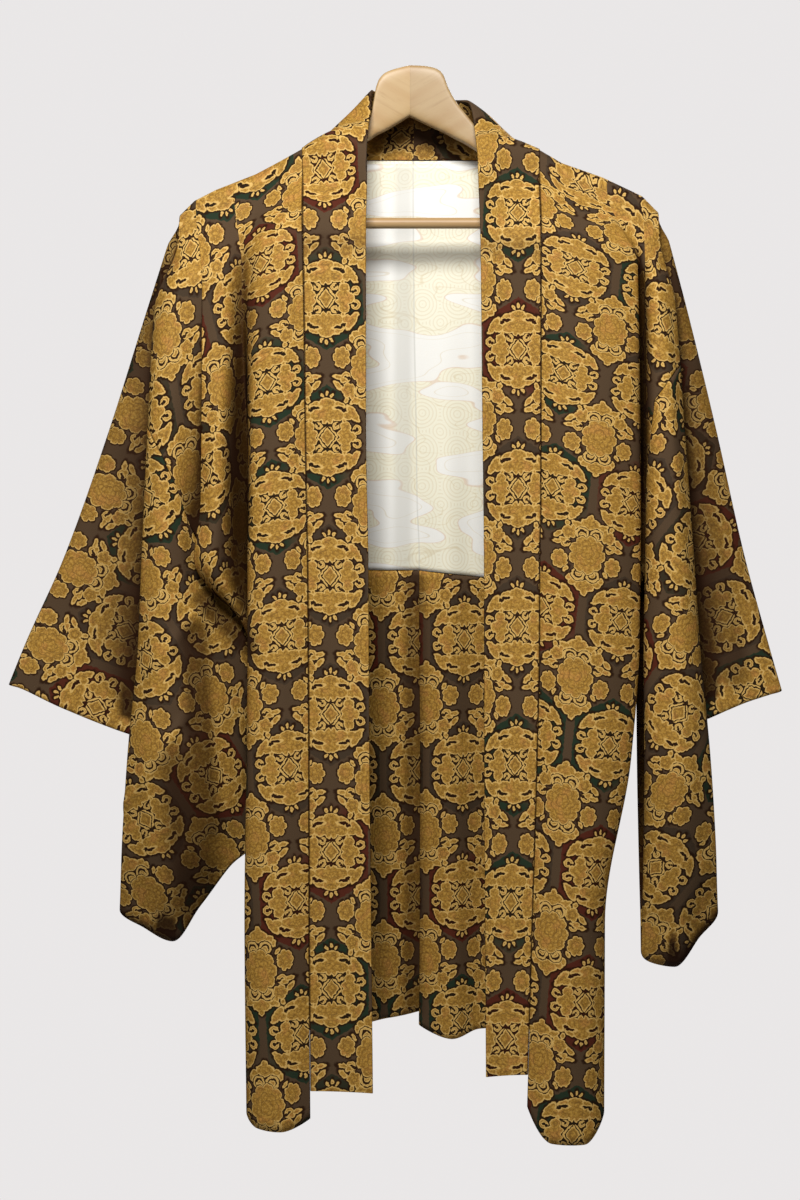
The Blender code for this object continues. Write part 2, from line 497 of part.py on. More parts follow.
def band_half(side):
    """Rows of points across the band on one side, from the hem to the middle of the back."""
    seam = band_seam_line(side)
    reach = np.concatenate([[0.0], np.cumsum(np.linalg.norm(np.diff(seam, axis=0), axis=1))])
    stations = np.array(BAND_STATIONS)
    along = BAND_SHORT[side] + stations * (reach[-1] - BAND_SHORT[side])
    inner = np.stack([np.interp(along, reach, seam[:, i]) for i in range(3)], axis=1)
    table = np.array(BAND_EDGE[side], float)
    edge = steady(table[:, 0], table[:, 1:], stations)
    free = placed(side, edge[:, 0], edge[:, 1], edge[:, 2])
    chord = free - inner
    width = np.linalg.norm(chord, axis=1, keepdims=True)
    inner = inner + chord / width * BAND_GAP
    along = np.gradient(inner + free, axis=0)
    outward = np.cross(chord, along) * SIGN[side]
    outward /= np.linalg.norm(outward, axis=1, keepdims=True)
    upward = eased((stations - 0.82) / 0.05)[:, None]
    outward = outward * (1 - upward) + np.array([0.0, 0.0, 1.0]) * upward
    rows = []
    for f in np.linspace(0.0, 1.0, 5):
        rise = edge[:, 3:4] * 4 * f * (1 - f)
        rows.append(inner + (free - inner) * f + outward * rise)
    return np.stack(rows, axis=1)


def collar_band():
    """The collar band, from the right front hem around the neck to the left front hem."""
    right = band_half("right")
    left = band_half("left")
    middle = (right[-1:] + left[-1:]) / 2
    whole = np.concatenate([right[:-1], middle, left[-2::-1]])
    return cloth_object("collar_band", "patterned_crepe", whole, wall=BAND_CLOTH, flip=True)


def back_liner(side, name, finish, top, bottom):
    """A cloth inside the back between two drops, over the folds from the middle seam to the neck corner."""
    folds = BACK_FOLDS[side][:5]
    places = np.array(NECK_PLACES + (4,), float)
    corner = shoulder_points(side, np.zeros(1))
    weight = places / 4
    start = NECK_DROP + (corner[1][0] + SHOULDER_ROUND - NECK_DROP) * weight**3
    hem = steady(np.arange(5), [fold[3] for fold in folds], places) - 1.5
    below_neck = LINING_TOP[0] + (LINING_TOP[1] - LINING_TOP[0]) * weight**4
    top = start + below_neck if top is None else np.full(len(places), top)
    bottom = hem if bottom is None else np.full(len(places), bottom)
    drop = top + np.linspace(0.0, 1.0, 12)[:, None] * (bottom - top)
    out, y = on_folds(fold_table(folds, BODY_LEVELS), places, drop)
    out[:, 0] += SEAM_GAP if side == "left" else 0.0
    neck_y = NECK_BACK + (corner[2][0] + SHOULDER_ROUND - NECK_BACK) * weight**2
    leaving = eased((drop - start) / SHOULDER_FALL)
    inset = LINING_INSIDE[0] + (LINING_INSIDE[1] - LINING_INSIDE[0]) * leaving
    points = placed(side, out, neck_y + (y - neck_y) * leaving - inset, drop)
    return cloth_object(f"{name}_{side}", finish, points, flip=side == "left")


def gusset(side):
    """The narrow tapered cloth between the front and back side seams, from its point down to the hem."""
    front_hem = FRONT_FOLDS[side][-1][3]
    back_hem = BACK_FOLDS[side][-1][3]
    rows = np.array(LOWER_SHARES[GUSSET_ROWS:])
    widening = (rows - rows[0]) / (1 - rows[0])
    columns = []
    for share in (0.0, 0.5, 1.0):
        drop = UNDERARM + rows * (front_hem + (back_hem - front_hem) * share - UNDERARM)
        front = steady(SIDE_LEVELS, np.array(FRONT_SEAM[side]).T, drop)
        back = steady(SIDE_LEVELS, np.array(BACK_SEAM[side]).T, drop)
        inset = (CLOTH + SEAM_GAP) / 2
        front[:, 1] += inset
        back[:, 1] -= inset
        middle = front + (back - front) * share
        tuck = 4 * share * (1 - share) * 5.0 * widening
        columns.append(placed(side, middle[:, 0] - tuck, middle[:, 1], drop))
    return cloth_object(f"gusset_{side}", "patterned_crepe", np.stack(columns, axis=1), flip=side == "right")


def arm(side):
    """One wooden arm: rounded sections along its top and underside lines."""
    angles = np.linspace(0.0, 2 * np.pi, 16, endpoint=False)
    rings = []
    for out, top, under in ARM_LINES[side]:
        half_depth = np.interp(out, (0.0, HALF_SPAN), HALF_DEPTH)
        half_height = (under - top) / 2
        y = arm_depth(out) + half_depth * np.sign(np.cos(angles)) * np.abs(np.cos(angles)) ** 0.45
        drop = (top + under) / 2 - half_height * np.sign(np.sin(angles)) * np.abs(np.sin(angles)) ** 0.45
        rings.append(placed(side, np.full(16, out), y, drop, 0.0))
    count = len(rings)
    faces = []
    for ring in range(count - 1):
        for i in range(16):
            j = (i + 1) % 16
            faces.append((ring * 16 + i, ring * 16 + j, ring * 16 + 16 + j, ring * 16 + 16 + i))
    faces.append(tuple(range(15, -1, -1)))
    faces.append(tuple(range((count - 1) * 16, count * 16)))
    if side == "right":
        faces = [face[::-1] for face in faces]
    return new_object(f"hanger_arm_{side}", "plain_wood", np.concatenate(rings), faces)


def bar():
    """The round bar between the two arms."""
    low, high = -BAR_REACH["right"], BAR_REACH["left"]
    sheet = bmesh.new()
    bmesh.ops.create_cone(sheet, cap_ends=True, segments=16, radius1=BAR_RADIUS * MM, radius2=BAR_RADIUS * MM,
                          depth=(high - low) * MM)
    sheet.transform(Matrix.Rotation(np.pi / 2, 4, "Y"))
    centre = placed("left", np.array((low + high) / 2), np.array(BAR_DEPTH), np.array(BAR_DROP), 0.0) * MM
    sheet.transform(Matrix.Translation(centre.tolist()))
    mesh = bpy.data.meshes.new("hanger_bar")
    sheet.to_mesh(mesh)
    sheet.free()
    mesh.materials.append(material("plain_wood"))
    bpy.data.collections[NAME].objects.link(bpy.data.objects.new("hanger_bar", mesh))


def main():
    clear_scene()
    bpy.context.scene.collection.children.link(bpy.data.collections.new(NAME))
    for side in ("right", "left"):
        points, keep, _ = body_points(side)
        cloth_object(f"body_{side}", "patterned_crepe", points, keep, flip=side == "left")
        sleeve(side)
        gusset(side)
        back_liner(side, "lining", "pale_lining", None, LINING_BOTTOM)
        back_liner(side, "facing", "patterned_crepe", LINING_BOTTOM + SEAM_GAP, None)
        arm(side)
    collar_band()
    bar()


main()
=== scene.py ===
"""Fine cloth, wood and finishes for a haori that hangs open on a wooden hanger.

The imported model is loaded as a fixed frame, and each of its cloths is replaced by a fine thin shell on the same
folds, with soft creases pressed into it. The silk's pattern is drawn with shader maths on the flat cloth, whose
coordinates are in millimetres and turn with the way each part of the garment hangs.

X runs to the wearer's left, Y to the back and Z up. The tables are in millimetres: "out" is a distance from the
middle of the hanger to the side named, "y" is a depth behind the ends of the hanger, and "drop" is a distance below
the shoulders' datum. Points are (x, y, z) in millimetres until they go into a mesh.
"""

import json
from functools import reduce

import bpy
import numpy as np
from bpy.props import FloatProperty, FloatVectorProperty, PointerProperty
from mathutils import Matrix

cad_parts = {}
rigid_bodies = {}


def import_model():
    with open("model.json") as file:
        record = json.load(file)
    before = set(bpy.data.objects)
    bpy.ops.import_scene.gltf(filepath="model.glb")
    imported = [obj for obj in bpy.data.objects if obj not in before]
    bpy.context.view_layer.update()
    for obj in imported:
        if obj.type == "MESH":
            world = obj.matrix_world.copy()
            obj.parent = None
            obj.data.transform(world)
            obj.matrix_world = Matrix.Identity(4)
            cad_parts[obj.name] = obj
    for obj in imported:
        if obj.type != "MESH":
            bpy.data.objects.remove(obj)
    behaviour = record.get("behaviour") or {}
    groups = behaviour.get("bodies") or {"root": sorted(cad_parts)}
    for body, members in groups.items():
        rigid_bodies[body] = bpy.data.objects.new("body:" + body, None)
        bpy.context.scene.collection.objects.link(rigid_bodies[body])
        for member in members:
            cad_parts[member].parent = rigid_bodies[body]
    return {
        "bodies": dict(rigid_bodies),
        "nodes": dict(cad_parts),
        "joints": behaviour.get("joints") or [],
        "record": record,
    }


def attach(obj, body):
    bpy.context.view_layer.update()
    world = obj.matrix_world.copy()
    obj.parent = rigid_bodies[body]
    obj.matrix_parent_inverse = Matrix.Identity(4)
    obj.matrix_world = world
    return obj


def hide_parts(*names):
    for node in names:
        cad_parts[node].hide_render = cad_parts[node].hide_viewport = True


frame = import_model()

bl_info = {
    "name": "Haori on a Hanger",
    "version": (1, 0, 0),
    "blender": (4, 5, 0),
    "location": "View3D > Sidebar > Haori",
    "description": "Builds the cloth, the hanger and the stage of a haori jacket round its packed frame",
    "category": "Object",
}

MM = 0.001
SIDES = ("right", "left")
SIGN = {"right": -1.0, "left": 1.0}

# Cloth
CLOTH_LOW = 3.3          # the drops of the cloth are counted from this far below the top of the wood
BAND_SHORT = {"right": 25.0, "left": 29.0}  # the band's end hangs this far above the corner of the front
LINING_INSIDE = (2.0, 3.2)  # from the middle of the back cloth to the lining's, at the neck and below
LINING_TOP = (4.0, 18.0)    # the lining starts this far under the neck seam, at the middle and at the corner
LINING_EDGE = {"right": (463.0, 463.0), "left": (463.0, 475.5)}  # drops of its lower edge, at the same places
FACING_GAP = 0.8         # between the lining's lower edge and the turned-up outer cloth
FACING_SHORT = 1.5       # the turned-up cloth ends this far above the hem
LINED_TO = 466.0         # the inner side of the body is pale down to this drop

# Shoulders
SHOULDER_ROUND = 11.0    # radius of the cloth over the hanger arm
SHOULDER_FALL = 70.0     # drop in which the cloth leaves the arm for its own folds
TOP_FALL = 28.0          # drop in which the top fold of a sleeve leaves it
UNDERARM = 450.0         # drop of the end of the armhole seam
NECK_DROP = 79.0         # drop of the neck seam at the middle of the back
NECK_BACK = 46.0         # its depth
BAG_ROUND = 75.0         # drop in which the two sides of a sleeve close to its bottom seam
BAG_HALF = 1.3           # half of the gap that stays between them there
UNDERARM_GAP = 9.0       # the sleeve starts this far under the end of the armhole seam
UPPER_END = (360.0, 450.0)  # drop at which the rows of the body's upper part end, at the band and at the side
SLEEVE_BACK_DEPTH = 0.8  # the back of a sleeve stands less far out than its front

# Hanger
MIDDLE_BACK = 20.0       # the middle of the hanger stands this far behind its ends
HALF_SPAN = 205.0
HALF_DEPTH = (7.0, 9.5)  # half of an arm's depth at the middle and at its end
BAR_RADIUS = 5.0
BAR_DROP = 145.8
BAR_DEPTH = 4.0
BAR_REACH = {"right": 154.0, "left": 170.0}
ARM_END = 5.0            # length over which an arm's end is rounded
ARM_SQUARE = 0.35        # power of the cosine and sine in an arm's section: 1 is an oval, 0 a rectangle
MITRE_GAP = 0.03         # from the middle of the hanger to an arm's mitred end

# Drops at which the folds of the body, of its side seams and of a sleeve are given
BODY_LEVELS = (120, 230, 330, 400, 450, 520, 630, 780, 970)
SIDE_LEVELS = (450, 520, 630, 780, 970)
SLEEVE_LEVELS = (145, 230, 330, 450, 530, 620, 790)

# Folds of a body front, from the band to the side. Columns: name, out at each level, y at each level, hem drop.
FRONT_FOLDS = {
    "right": (
        ("band seam", (98, 96, 95, 94, 93, 92.5, 92, 92, 91), (-36, -42, -46, -48, -50, -52, -54, -56, -58), 958),
        ("crest", (118, 118, 117, 117, 117, 117, 117, 117, 117), (-36, -48, -54, -57, -59, -61, -63, -66, -68), 968),
        ("brow", (134, 136, 137, 137, 138, 138, 140, 140, 139), (-32, -44, -51, -54, -56, -57, -58, -60, -62), 966),
        ("edge", (144, 145, 146, 146, 147, 147, 148, 150, 148.5), (-27, -34, -39, -41, -43, -44, -45, -46, -48), 952),
        ("recess", (152, 153, 150, 148, 146, 139, 134, 128, 124), (-24, -24, -14, -10, -10, -26, -27, -28, -30), 944),
        ("puff", (167, 168, 171, 172, 175, 149, 127, 127, 132), (-28, -38, -47, -52, -56, -19, -12, -12, -12), 940),
        ("puff edge", (184, 187, 188, 189, 195, 146, 118, 113, 118), (-28, -38, -42, -44, -46, -8, -2, -2, 0), 938),
    ),
    "left": (
        ("band seam", (118, 118, 118, 118, 117, 117, 115, 111, 106),
         (-36, -42, -46, -48, -50, -52, -54, -56, -58), 947),
        ("crest", (141, 142, 142, 142, 142, 142, 140, 136, 128), (-37, -49, -56, -59, -61, -63, -66, -68, -70), 978),
        ("brow", (170, 175, 177, 178, 178, 178, 173, 161, 158), (-33, -44, -52, -55, -57, -59, -62, -64, -66), 980),
        ("edge", (198, 204, 206, 207, 207, 207, 200, 177, 177), (-27, -33, -38, -40, -41, -42, -44, -46, -48), 954),
        ("recess", (205, 207, 208, 208, 207, 200, 190, 166, 160), (-25, -17, -13, -12, -12, -20, -24, -28, -30), 944),
        ("slit", (210, 210, 210.5, 210.5, 210, 195, 178, 160, 152), (-22, -10, -6, -6, -7, -14, -15, -16, -18), 940),
        ("slit edge", (213, 213, 213, 213, 214, 195, 170, 150, 142), (-24, -17, -12, -12, -9, -5, -4, -6, -8), 938),
    ),
}

# Folds of the back, from the middle seam to the side: the first four lie inside the neck corner.
BACK_FOLDS = {
    "right": (
        ("middle seam", (-3, -4, -6, -7, -9, -9, -10, -10, -9), (46, 50, 54, 57, 60, 66, 76, 94, 115), 899),
        ("inner ridge", (22, 22, 21, 21, 21, 21, 20, 20, 20), (46, 48, 50, 51, 53, 57, 64, 80, 100), 902),
        ("inner hollow", (52, 52, 52, 52, 52, 52, 53, 54, 55), (44, 50, 57, 61, 65, 71, 82, 100, 121), 914),
        ("neck ridge", (80, 80, 80, 80, 80, 81, 82, 84, 86), (40, 46, 51, 54, 57, 61, 71, 87, 107), 914),
        ("neck corner", (98, 98, 99, 100, 100, 101, 102, 104, 106), (34, 44, 51, 56, 60, 66, 78, 96, 115), 918),
        ("crest", (118, 119, 120, 120, 121, 122, 124, 126, 128), (30, 44, 54, 60, 64, 70, 82, 98, 118), 922),
        ("brow", (134, 136, 138, 139, 140, 141, 142, 143, 143), (26, 40, 50, 56, 60, 66, 76, 92, 111), 924),
        ("edge", (144, 148, 150, 151, 152, 152, 153, 152, 150), (23, 34, 42, 46, 49, 53, 62, 76, 95), 926),
        ("recess", (152, 155, 153, 151, 148, 140, 136, 132, 132), (20, 24, 18, 16, 18, 32, 44, 58, 77), 928),
        ("ridge", (167, 169, 171, 172, 172, 146, 128, 126, 132), (24, 32, 36, 38, 36, 27, 38, 52, 74), 930),
        ("ridge edge", (184, 186, 188, 189, 188, 142, 120, 116, 122), (24, 32, 34, 34, 30, 20, 32, 48, 70), 932),
    ),
    "left": (
        ("middle seam", (3, 4, 6, 7, 9, 9, 10, 10, 9), (46, 50, 54, 57, 60, 66, 76, 94, 115), 913),
        ("inner ridge", (30, 32, 34, 35, 36, 37, 38, 40, 42), (46, 47, 49, 50, 52, 56, 64, 80, 100), 924),
        ("inner hollow", (60, 61, 62, 62, 63, 64, 66, 67, 68), (44, 49, 55, 59, 62, 67, 77, 94, 114), 917),
        ("neck ridge", (92, 92, 92, 92, 93, 93, 94, 94, 95), (39, 46, 51, 54, 57, 61, 71, 87, 107), 914),
        ("neck corner", (118, 118, 118, 118, 118, 118, 118, 117, 116), (32, 44, 52, 57, 61, 67, 79, 97, 116), 918),
        ("crest", (141, 142, 142, 142, 142, 142, 142, 138, 134), (28, 44, 55, 61, 65, 71, 83, 99, 119), 922),
        ("brow", (170, 172, 172, 172, 172, 172, 168, 156, 150), (24, 38, 49, 55, 59, 65, 75, 91, 110), 924),
        ("edge", (198, 203, 204, 204, 204, 203, 194, 170, 160), (20, 30, 38, 42, 45, 50, 60, 76, 95), 926),
        ("recess", (205, 207, 208, 208, 206, 194, 178, 154, 146), (19, 17, 14, 13, 14, 30, 42, 58, 77), 928),
        ("ridge", (210, 210, 210.5, 210.5, 210, 191, 168, 146, 142), (18, 11, 7, 7, 8, 23, 36, 50, 70), 930),
        ("ridge edge", (213, 213, 213, 213, 214, 193, 160, 140, 138), (19, 16, 12, 12, 8.5, 17, 29, 44, 66), 932),
    ),
}

# Side seams under the arm. Columns: out at each side level, y at each side level.
FRONT_SEAM = {
    "right": ((182, 141, 113, 110, 117), (-24, 2, 14, 19, 27)),
    "left": ((222, 196, 158, 140, 134), (-10, 4, 12, 16, 16)),
}
BACK_SEAM = {
    "right": ((182, 141, 114, 112, 118), (19, 13, 25, 40, 60)),
    "left": ((222, 196, 158, 139, 134), (8, 13, 24, 38, 58)),
}

# Line of the shoulder from the neck corner to the end of the hanger. Columns: out, drop.
SHOULDER_LINE = {
    "right": ((98, 74), (119, 86), (141, 98), (178, 113), (197, 123), (210, 136)),
    "left": ((118, 75.5), (139, 88), (176, 101.5), (212, 119), (226, 133)),
}

# Folds of the cloth past the hanger's end, from the body to the top fold of the sleeve. The cloth hangs in a
# forward column (inner edge to edge), turns back behind it (tuck, inner fold) and lies flat out to the top fold.
# Columns: name, out at each level, y at each level, drop of the armhole seam (0 where the cloth starts at the
# end of the hanger), bottom drop.
SLEEVE_FOLDS = {
    "right": (
        ("inner edge", (188, 188, 188, 182, 148, 145, 145), (-30, -36, -33, -24, -8, -6, -4), 450, 717),
        ("hollow", (196, 199, 202, 198, 168, 165, 165), (-30, -40, -41, -34, -24, -26, -8), 420, 734),
        ("shoulder", (202, 208, 213, 208, 199, 193, 195), (-29, -42, -48, -47, -46, -46, -16), 382, 773),
        ("crest", (207, 218, 224, 224, 224, 226, 221), (-27, -42, -50, -54, -56, -58, -20), 354, 807),
        ("brow", (212, 227, 234, 239, 241, 249, 248), (-22, -36, -44, -46, -47, -48, -14), 335, 794),
        ("edge", (215, 232, 237, 243, 247, 256, 271), (-17, -28, -36, -38, -38, -38, -8), 329, 776),
        ("tuck", (211, 227, 231, 235, 238, 242, 239), (-12, -20, -27, -27, -27, -27, -4), 0, 742),
        ("inner fold", (206, 215, 217, 217, 217, 218, 217), (-9, -14, -20, -19, -17, -12, -5), 0, 625),
        ("return", (209, 228, 236, 246, 248, 245, 240), (-6, -8, -9, -9, -9, -7, -6), 0, 617),
        ("flat", (213, 236, 258, 284, 304, 325, 360), (-4, -6, -7, -7, -7, -6, -6), 0, 590),
        ("top brow", (215, 240, 271, 313, 349, 384, 440), (-2, -4, -4, -4, -4, -4, -4), 0, 569),
        ("top fold", (216, 243.7, 276, 319.5, 356, 392, 456), (0, 0, 0, 0, 0, 0, 0), 0, 566),
    ),
    "left": (
        ("inner edge", (216, 214, 214, 222, 228, 228, 228), (-25, -24, -22, -10, -7, -6, -4), 450, 720),
        ("hollow", (217, 215, 215, 214, 213, 214, 216), (-25, -31, -34, -34, -34, -34, -10), 372, 816),
        ("shoulder", (219, 219, 221, 222, 222, 223, 225), (-24, -40, -46, -50, -50, -50, -18), 306, 827),
        ("crest", (222, 227, 234, 240, 243, 246, 247), (-24, -41, -50, -55, -57, -58, -22), 290, 831),
        ("brow", (227, 236, 243, 252, 258, 265, 269), (-21, -34, -42, -46, -48, -48, -16), 279, 804),
        ("edge", (231, 241, 248, 257, 263, 272, 287), (-17, -27, -34, -36, -36, -36, -8), 273, 776),
        ("tuck", (226, 236, 242, 247, 252, 257, 250), (-12, -20, -26, -27, -27, -27, -4), 0, 745),
        ("inner fold", (221, 227, 231, 234, 236, 240, 240), (-9, -14, -18, -18, -17, -13, -5), 0, 614),
        ("return", (225, 237, 250, 262, 270, 278, 290), (-6, -8, -9, -9, -9, -7, -6), 0, 598),
        ("flat", (229, 247, 266, 287, 303, 322, 350), (-4, -6, -7, -7, -7, -6, -6), 0, 582),
        ("top brow", (232, 252, 275.5, 302, 325, 350, 395), (-2, -4, -4, -4, -4, -4, -4), 0, 575),
        ("top fold", (233, 256, 281, 309, 331.5, 358, 405), (0, 0, 0, 0, 0, 0, 0), 0, 573),
    ),
}

# Free edge of the collar band. Columns: station along the band (0 at the hem, 1 at the middle of the back),
# out, y, drop, rise of the band's middle above the straight line to the seam.
BAND_EDGE = {
    "right": (
        (0.00, 34, -58, 935, 2), (0.16, 35.5, -57, 780, 2), (0.31, 37, -55, 630, 2), (0.49, 38, -52, 450, 3),
        (0.61, 40, -48, 330, 3), (0.71, 40, -44, 230, 3), (0.79, 40, -37, 152, 3), (0.83, 39.5, -29, 112, 4),
        (0.86, 39.5, -19, 84, 7), (0.885, 38.5, -11, 61, 11), (0.91, 36, -2, 39, 14), (0.935, 34.5, 16, 20, 10),
        (0.965, 28, 38, 18, 3), (1.00, -4, 48, 22, 1),
    ),
    "left": (
        (0.00, 69, -58, 920, 2), (0.16, 68, -57, 775, 2), (0.31, 67, -55, 630, 2), (0.49, 66.5, -52, 450, 3),
        (0.61, 65, -48, 330, 3), (0.71, 64, -44, 230, 3), (0.79, 63, -37, 152, 3), (0.83, 62, -29, 112, 4),
        (0.86, 61, -19, 84, 8), (0.885, 59, -10, 62, 13), (0.91, 57, -1, 44, 17), (0.935, 53, 16, 30, 13),
        (0.965, 38, 37, 25, 3), (1.00, 4, 48, 22, 1),
    ),
}

# Wooden arms, from the mitre at the middle. Columns: out, top drop, underside drop.
ARM_LINES = {
    "right": ((0.2, 0, 46), (11.5, 2.8, 53), (22.5, 7, 59.5), (28.5, 13, 62.5), (31.5, 21, 64), (35.5, 44, 67),
              (39, 54, 69), (60, 68, 82), (98, 92, 112), (139, 108, 131), (190, 130, 154), (202, 140, 158)),
    "left": ((0.2, 0, 46.5), (11, 0.6, 52), (22.5, 2.8, 57.5), (28, 6, 60), (31, 10, 61.5), (34.5, 19.5, 63.5),
             (41, 32, 67), (49.5, 43.3, 71.5), (60, 56, 78), (98, 88, 108), (139, 100, 125), (190, 118, 148),
             (214, 131, 155)),
}

# Seams and gussets
SLEEVE_START = 0.2       # a sleeve's end over the hanger starts this far past the shoulder line
SEAM_GAP = 0.5           # between the edges of the body and a sleeve at the armhole seam
BAND_GAP = 0.4           # between the edges of the body and the collar band
BAND_LAP = 0.9           # by which the band laps over the body's edge behind the neck
MIDDLE_GAP = 0.4         # between the two body lengths at the middle of the back
GUSSET_TOP = 0.25        # the point of a gusset, as a share of the way from the underarm to the hem
GUSSET_INSET = 0.9       # from a side seam to the gusset's edge
GUSSET_TUCK = 5.0        # depth to which the gusset folds inwards at the hem

# Fine grids. Places count the folds across a cloth, and rows are counted above and below the armhole seam.
GUSSET_GRID = (70, 13)
BODY_PLACES = np.linspace(0.0, 6.0, 85)
BETWEEN = np.linspace(0.0, 1.0, 8)[1:-1]  # shares of the way from the body's last fold to the column's first
COLUMN_PLACES = np.linspace(0.0, 5.0, 51)
NECK_CORNER = 4          # place of the neck corner on the back
NECK_PLACES = np.linspace(0.0, NECK_CORNER, 41)[:-1]
BODY_ROWS = (62, 66)
BODY_SHARES = (0.82, 0.86)  # the body's folds end and the column's start at these shares of the shoulder
ARCH_ROWS = 13           # over the hanger's arm, with both ends
SLEEVE_ROWS = (38, 84)
SLEEVE_EDGE = 5.0        # place of the column's edge on a sleeve
TOP_FOLD = 11.0          # place of a sleeve's top fold
CUFF_START = 6.5         # place past which the two sides of a sleeve stay apart at its bottom
SLEEVE_STEPS = 61        # columns up to the column's edge, and again from there to the top fold
LAY_COLUMNS = (36, 70)   # column that a sleeve's forward lay is unrolled from, and the column at which it ends
BAND_STATIONS = np.concatenate([np.linspace(0, 0.78, 105), np.linspace(0.78, 1.0, 76)[1:]])
BAND_TURN = (0.82, 0.05)  # station at which the band starts to stand up behind the neck, and the share it takes
BAND_COLUMNS = 21
BAND_ROUND = 0.0009      # width in metres by which the band's edges are rounded
LINER_GRID = (90, 61)
ARM_AROUND = 40
FLOOR_GRID = (12, 96)

# Repeat of the silk's pattern, across and along the warp, and of the lining's
REPEAT = (75.6, 125.0)
RINGS_REPEAT = 34.0

# Creases pressed into the cloth. Columns: start (x, z), end (x, z), half width, height, and the side that it is on:
# -1 the front, 1 the back.
CREASES = (
    ((-244, -566), (-166, -466), 5.0, 2.2, -1),
    ((-268, -690), (-190, -575), 4.0, 2.5, -1),
)

FOLLOW_FADE = 320.0      # length down the warp over which its share in following the shoulder falls to 1/e

# How the flat cloth lies on each part of the garment. Columns: turn of the warp from upright in degrees (above 0 its
# lower end leans to +X), point (x, z) at which the middle of a whole lozenge lies, share by which the warp follows
# the shoulder's slope, and slant of the weft from square in degrees.
LAYS = {
    "band_right": (0.0, (-72.4, -468.0), 0.0, 0.0),
    "band_left": (0.0, (94.9, -511.0), 0.0, 0.0),
    "front_right": (3.0, (-114.8, -524.0), 0.72, 0.0),
    "front_left": (-5.0, (148.5, -192.0), 1.4, 0.0),
    "ridge_right": (14.0, (-153.0, -222.0), 0.0, 10.0),
    "ridge_left": (-12.0, (206.0, -430.0), 0.0, -10.0),
    "column_right": (11.0, (-199.0, -170.0), 0.0, 16.0),
    "column_left": (-14.0, (232.0, -240.0), 0.0, -10.0),
    "sleeve_right": (31.0, (-231.0, -436.0), 0.0, 0.0),
    "sleeve_left": (-38.0, (242.0, -590.0), 0.0, 0.0),
    "outer_right": (69.0, (-262.0, -520.0), 0.0, 0.0),
    "outer_left": (-69.5, (290.0, -507.0), 0.0, 0.0),
    "facing": (0.0, (52.0, -535.0), 0.0, 0.0),
}

FAR = 99.0               # the distance from a seam that is written where there is none

# Painted shade of folds: share of the half turn in front of a point that its neighbours hide, where it starts to
# count as lying in a fold and to darken, and the further share at which it is at its darkest.
SHELTER = (0.10, 0.42)
SHELTER_SOFT = 3.0       # added to the distance of a neighbour, so that the nearest hide little

# Painted shade: strokes that darken cloth in the shade of a fold beside it, the painted shadow of the hanger's wood
# on the collar band and the painted shadow under its bar on the lining. Columns: start (x, z), end (x, z), half
# width,
# share, and the side that it is on: -1 the front, 1 the back, 0 the lining.
SHADES = (
    ((-206, -640), (-196, -800), 24.0, 0.75, -1),
    ((-262, -836), (-205, -770), 16.0, 0.55, -1),
    ((-196, -520), (-186, -700), 14.0, 0.80, -1),
    ((-186, -490), (-150, -530), 13.0, 0.85, -1),
    ((258, -330), (300, -560), 15.0, 0.55, -1),
    ((206, -640), (196, -800), 24.0, 0.50, 1),
    ((5, -478), (3, -900), 11.0, 0.62, -1),
    ((-22, -52), (52, -54), 24.0, 0.72, -1),
    ((-6, -60), (-7, -470), 9.0, 0.42, 0),
    ((-100, -168), (110, -172), 9.0, 0.30, 0),
)
BEHIND_NECK = 5.0        # y past which the collar band takes the front's painted shades

# Wood of the arms: slope of the grain in degrees, and a share that its colours are multiplied by. A share below 1
# is painted shade: the left arm is a darker copy of the same wood, as if less light fell on it.
ARM_GRAIN_AND_SHADE = {"right": (-28.0, 1.0), "left": (28.0, 0.82)}

# Stage, in metres
FLOOR_REACH = 1.25       # radius of the floor
FLOOR_FADE = (1.24, 0.7)  # the floor is clear past the first radius and solid within the second
CAMERA_PLACE = (-0.0093, -0.3813)  # x and z


def steady(knots, values, at):
    """Read a curve through values at rising knots: cubic between knots, never past them, and level beyond its ends.

    The slope at a knot is the harmonic mean of the slopes beside it, or 0 where they differ in sign.
    """
    knots = np.asarray(knots, float)
    values = np.asarray(values, float)
    at = np.clip(np.asarray(at, float), knots[0], knots[-1])
    shape = (-1,) + (1,) * (values.ndim - 1)
    rise = np.diff(values, axis=0) / np.diff(knots).reshape(shape)
    product = rise[:-1] * rise[1:]
    total = np.where(product > 0, rise[:-1] + rise[1:], 1.0)
    slopes = np.concatenate([rise[:1], np.where(product > 0, 2 * product / total, 0.0), rise[-1:]])
    cell = np.clip(np.searchsorted(knots, at, side="right") - 1, 0, len(knots) - 2)
    span = (knots[cell + 1] - knots[cell]).reshape(at.shape + shape[1:])
    f = (at - knots[cell]).reshape(span.shape) / span
    start = values[cell] * (1 + 2 * f) * (1 - f) ** 2 + slopes[cell] * span * f * (1 - f) ** 2
    return start + values[cell + 1] * f**2 * (3 - 2 * f) - slopes[cell + 1] * span * f**2 * (1 - f)


def across(rows, place):
    """Read cubic curves through the folds in rows: place 0 is the first fold, 1 the second, 0.5 half way."""
    last = rows.shape[1] - 1
    cell = np.clip(np.floor(place).astype(int), 0, last - 1)
    f = place - cell
    line = np.arange(len(rows))
    before = rows[line, np.maximum(cell - 1, 0)]
    first = rows[line, cell]
    second = rows[line, cell + 1]
    after = rows[line, np.minimum(cell + 2, last)]
    start = first * (1 + 2 * f) * (1 - f) ** 2 + (second - before) / 2 * f * (1 - f) ** 2
    return start + second * f**2 * (3 - 2 * f) - (after - first) / 2 * f**2 * (1 - f)


def eased(f):
    """0 below 0, 1 above 1, and 3f^2 - 2f^3 between."""
    f = np.clip(f, 0.0, 1.0)
    return f * f * (3 - 2 * f)


def run(steps):
    """The length reached at each point of a line, or of each row of a grid, from the steps between the points."""
    return np.concatenate([np.zeros(steps.shape[:-1] + (1,)), np.cumsum(steps, axis=-1)], axis=-1)


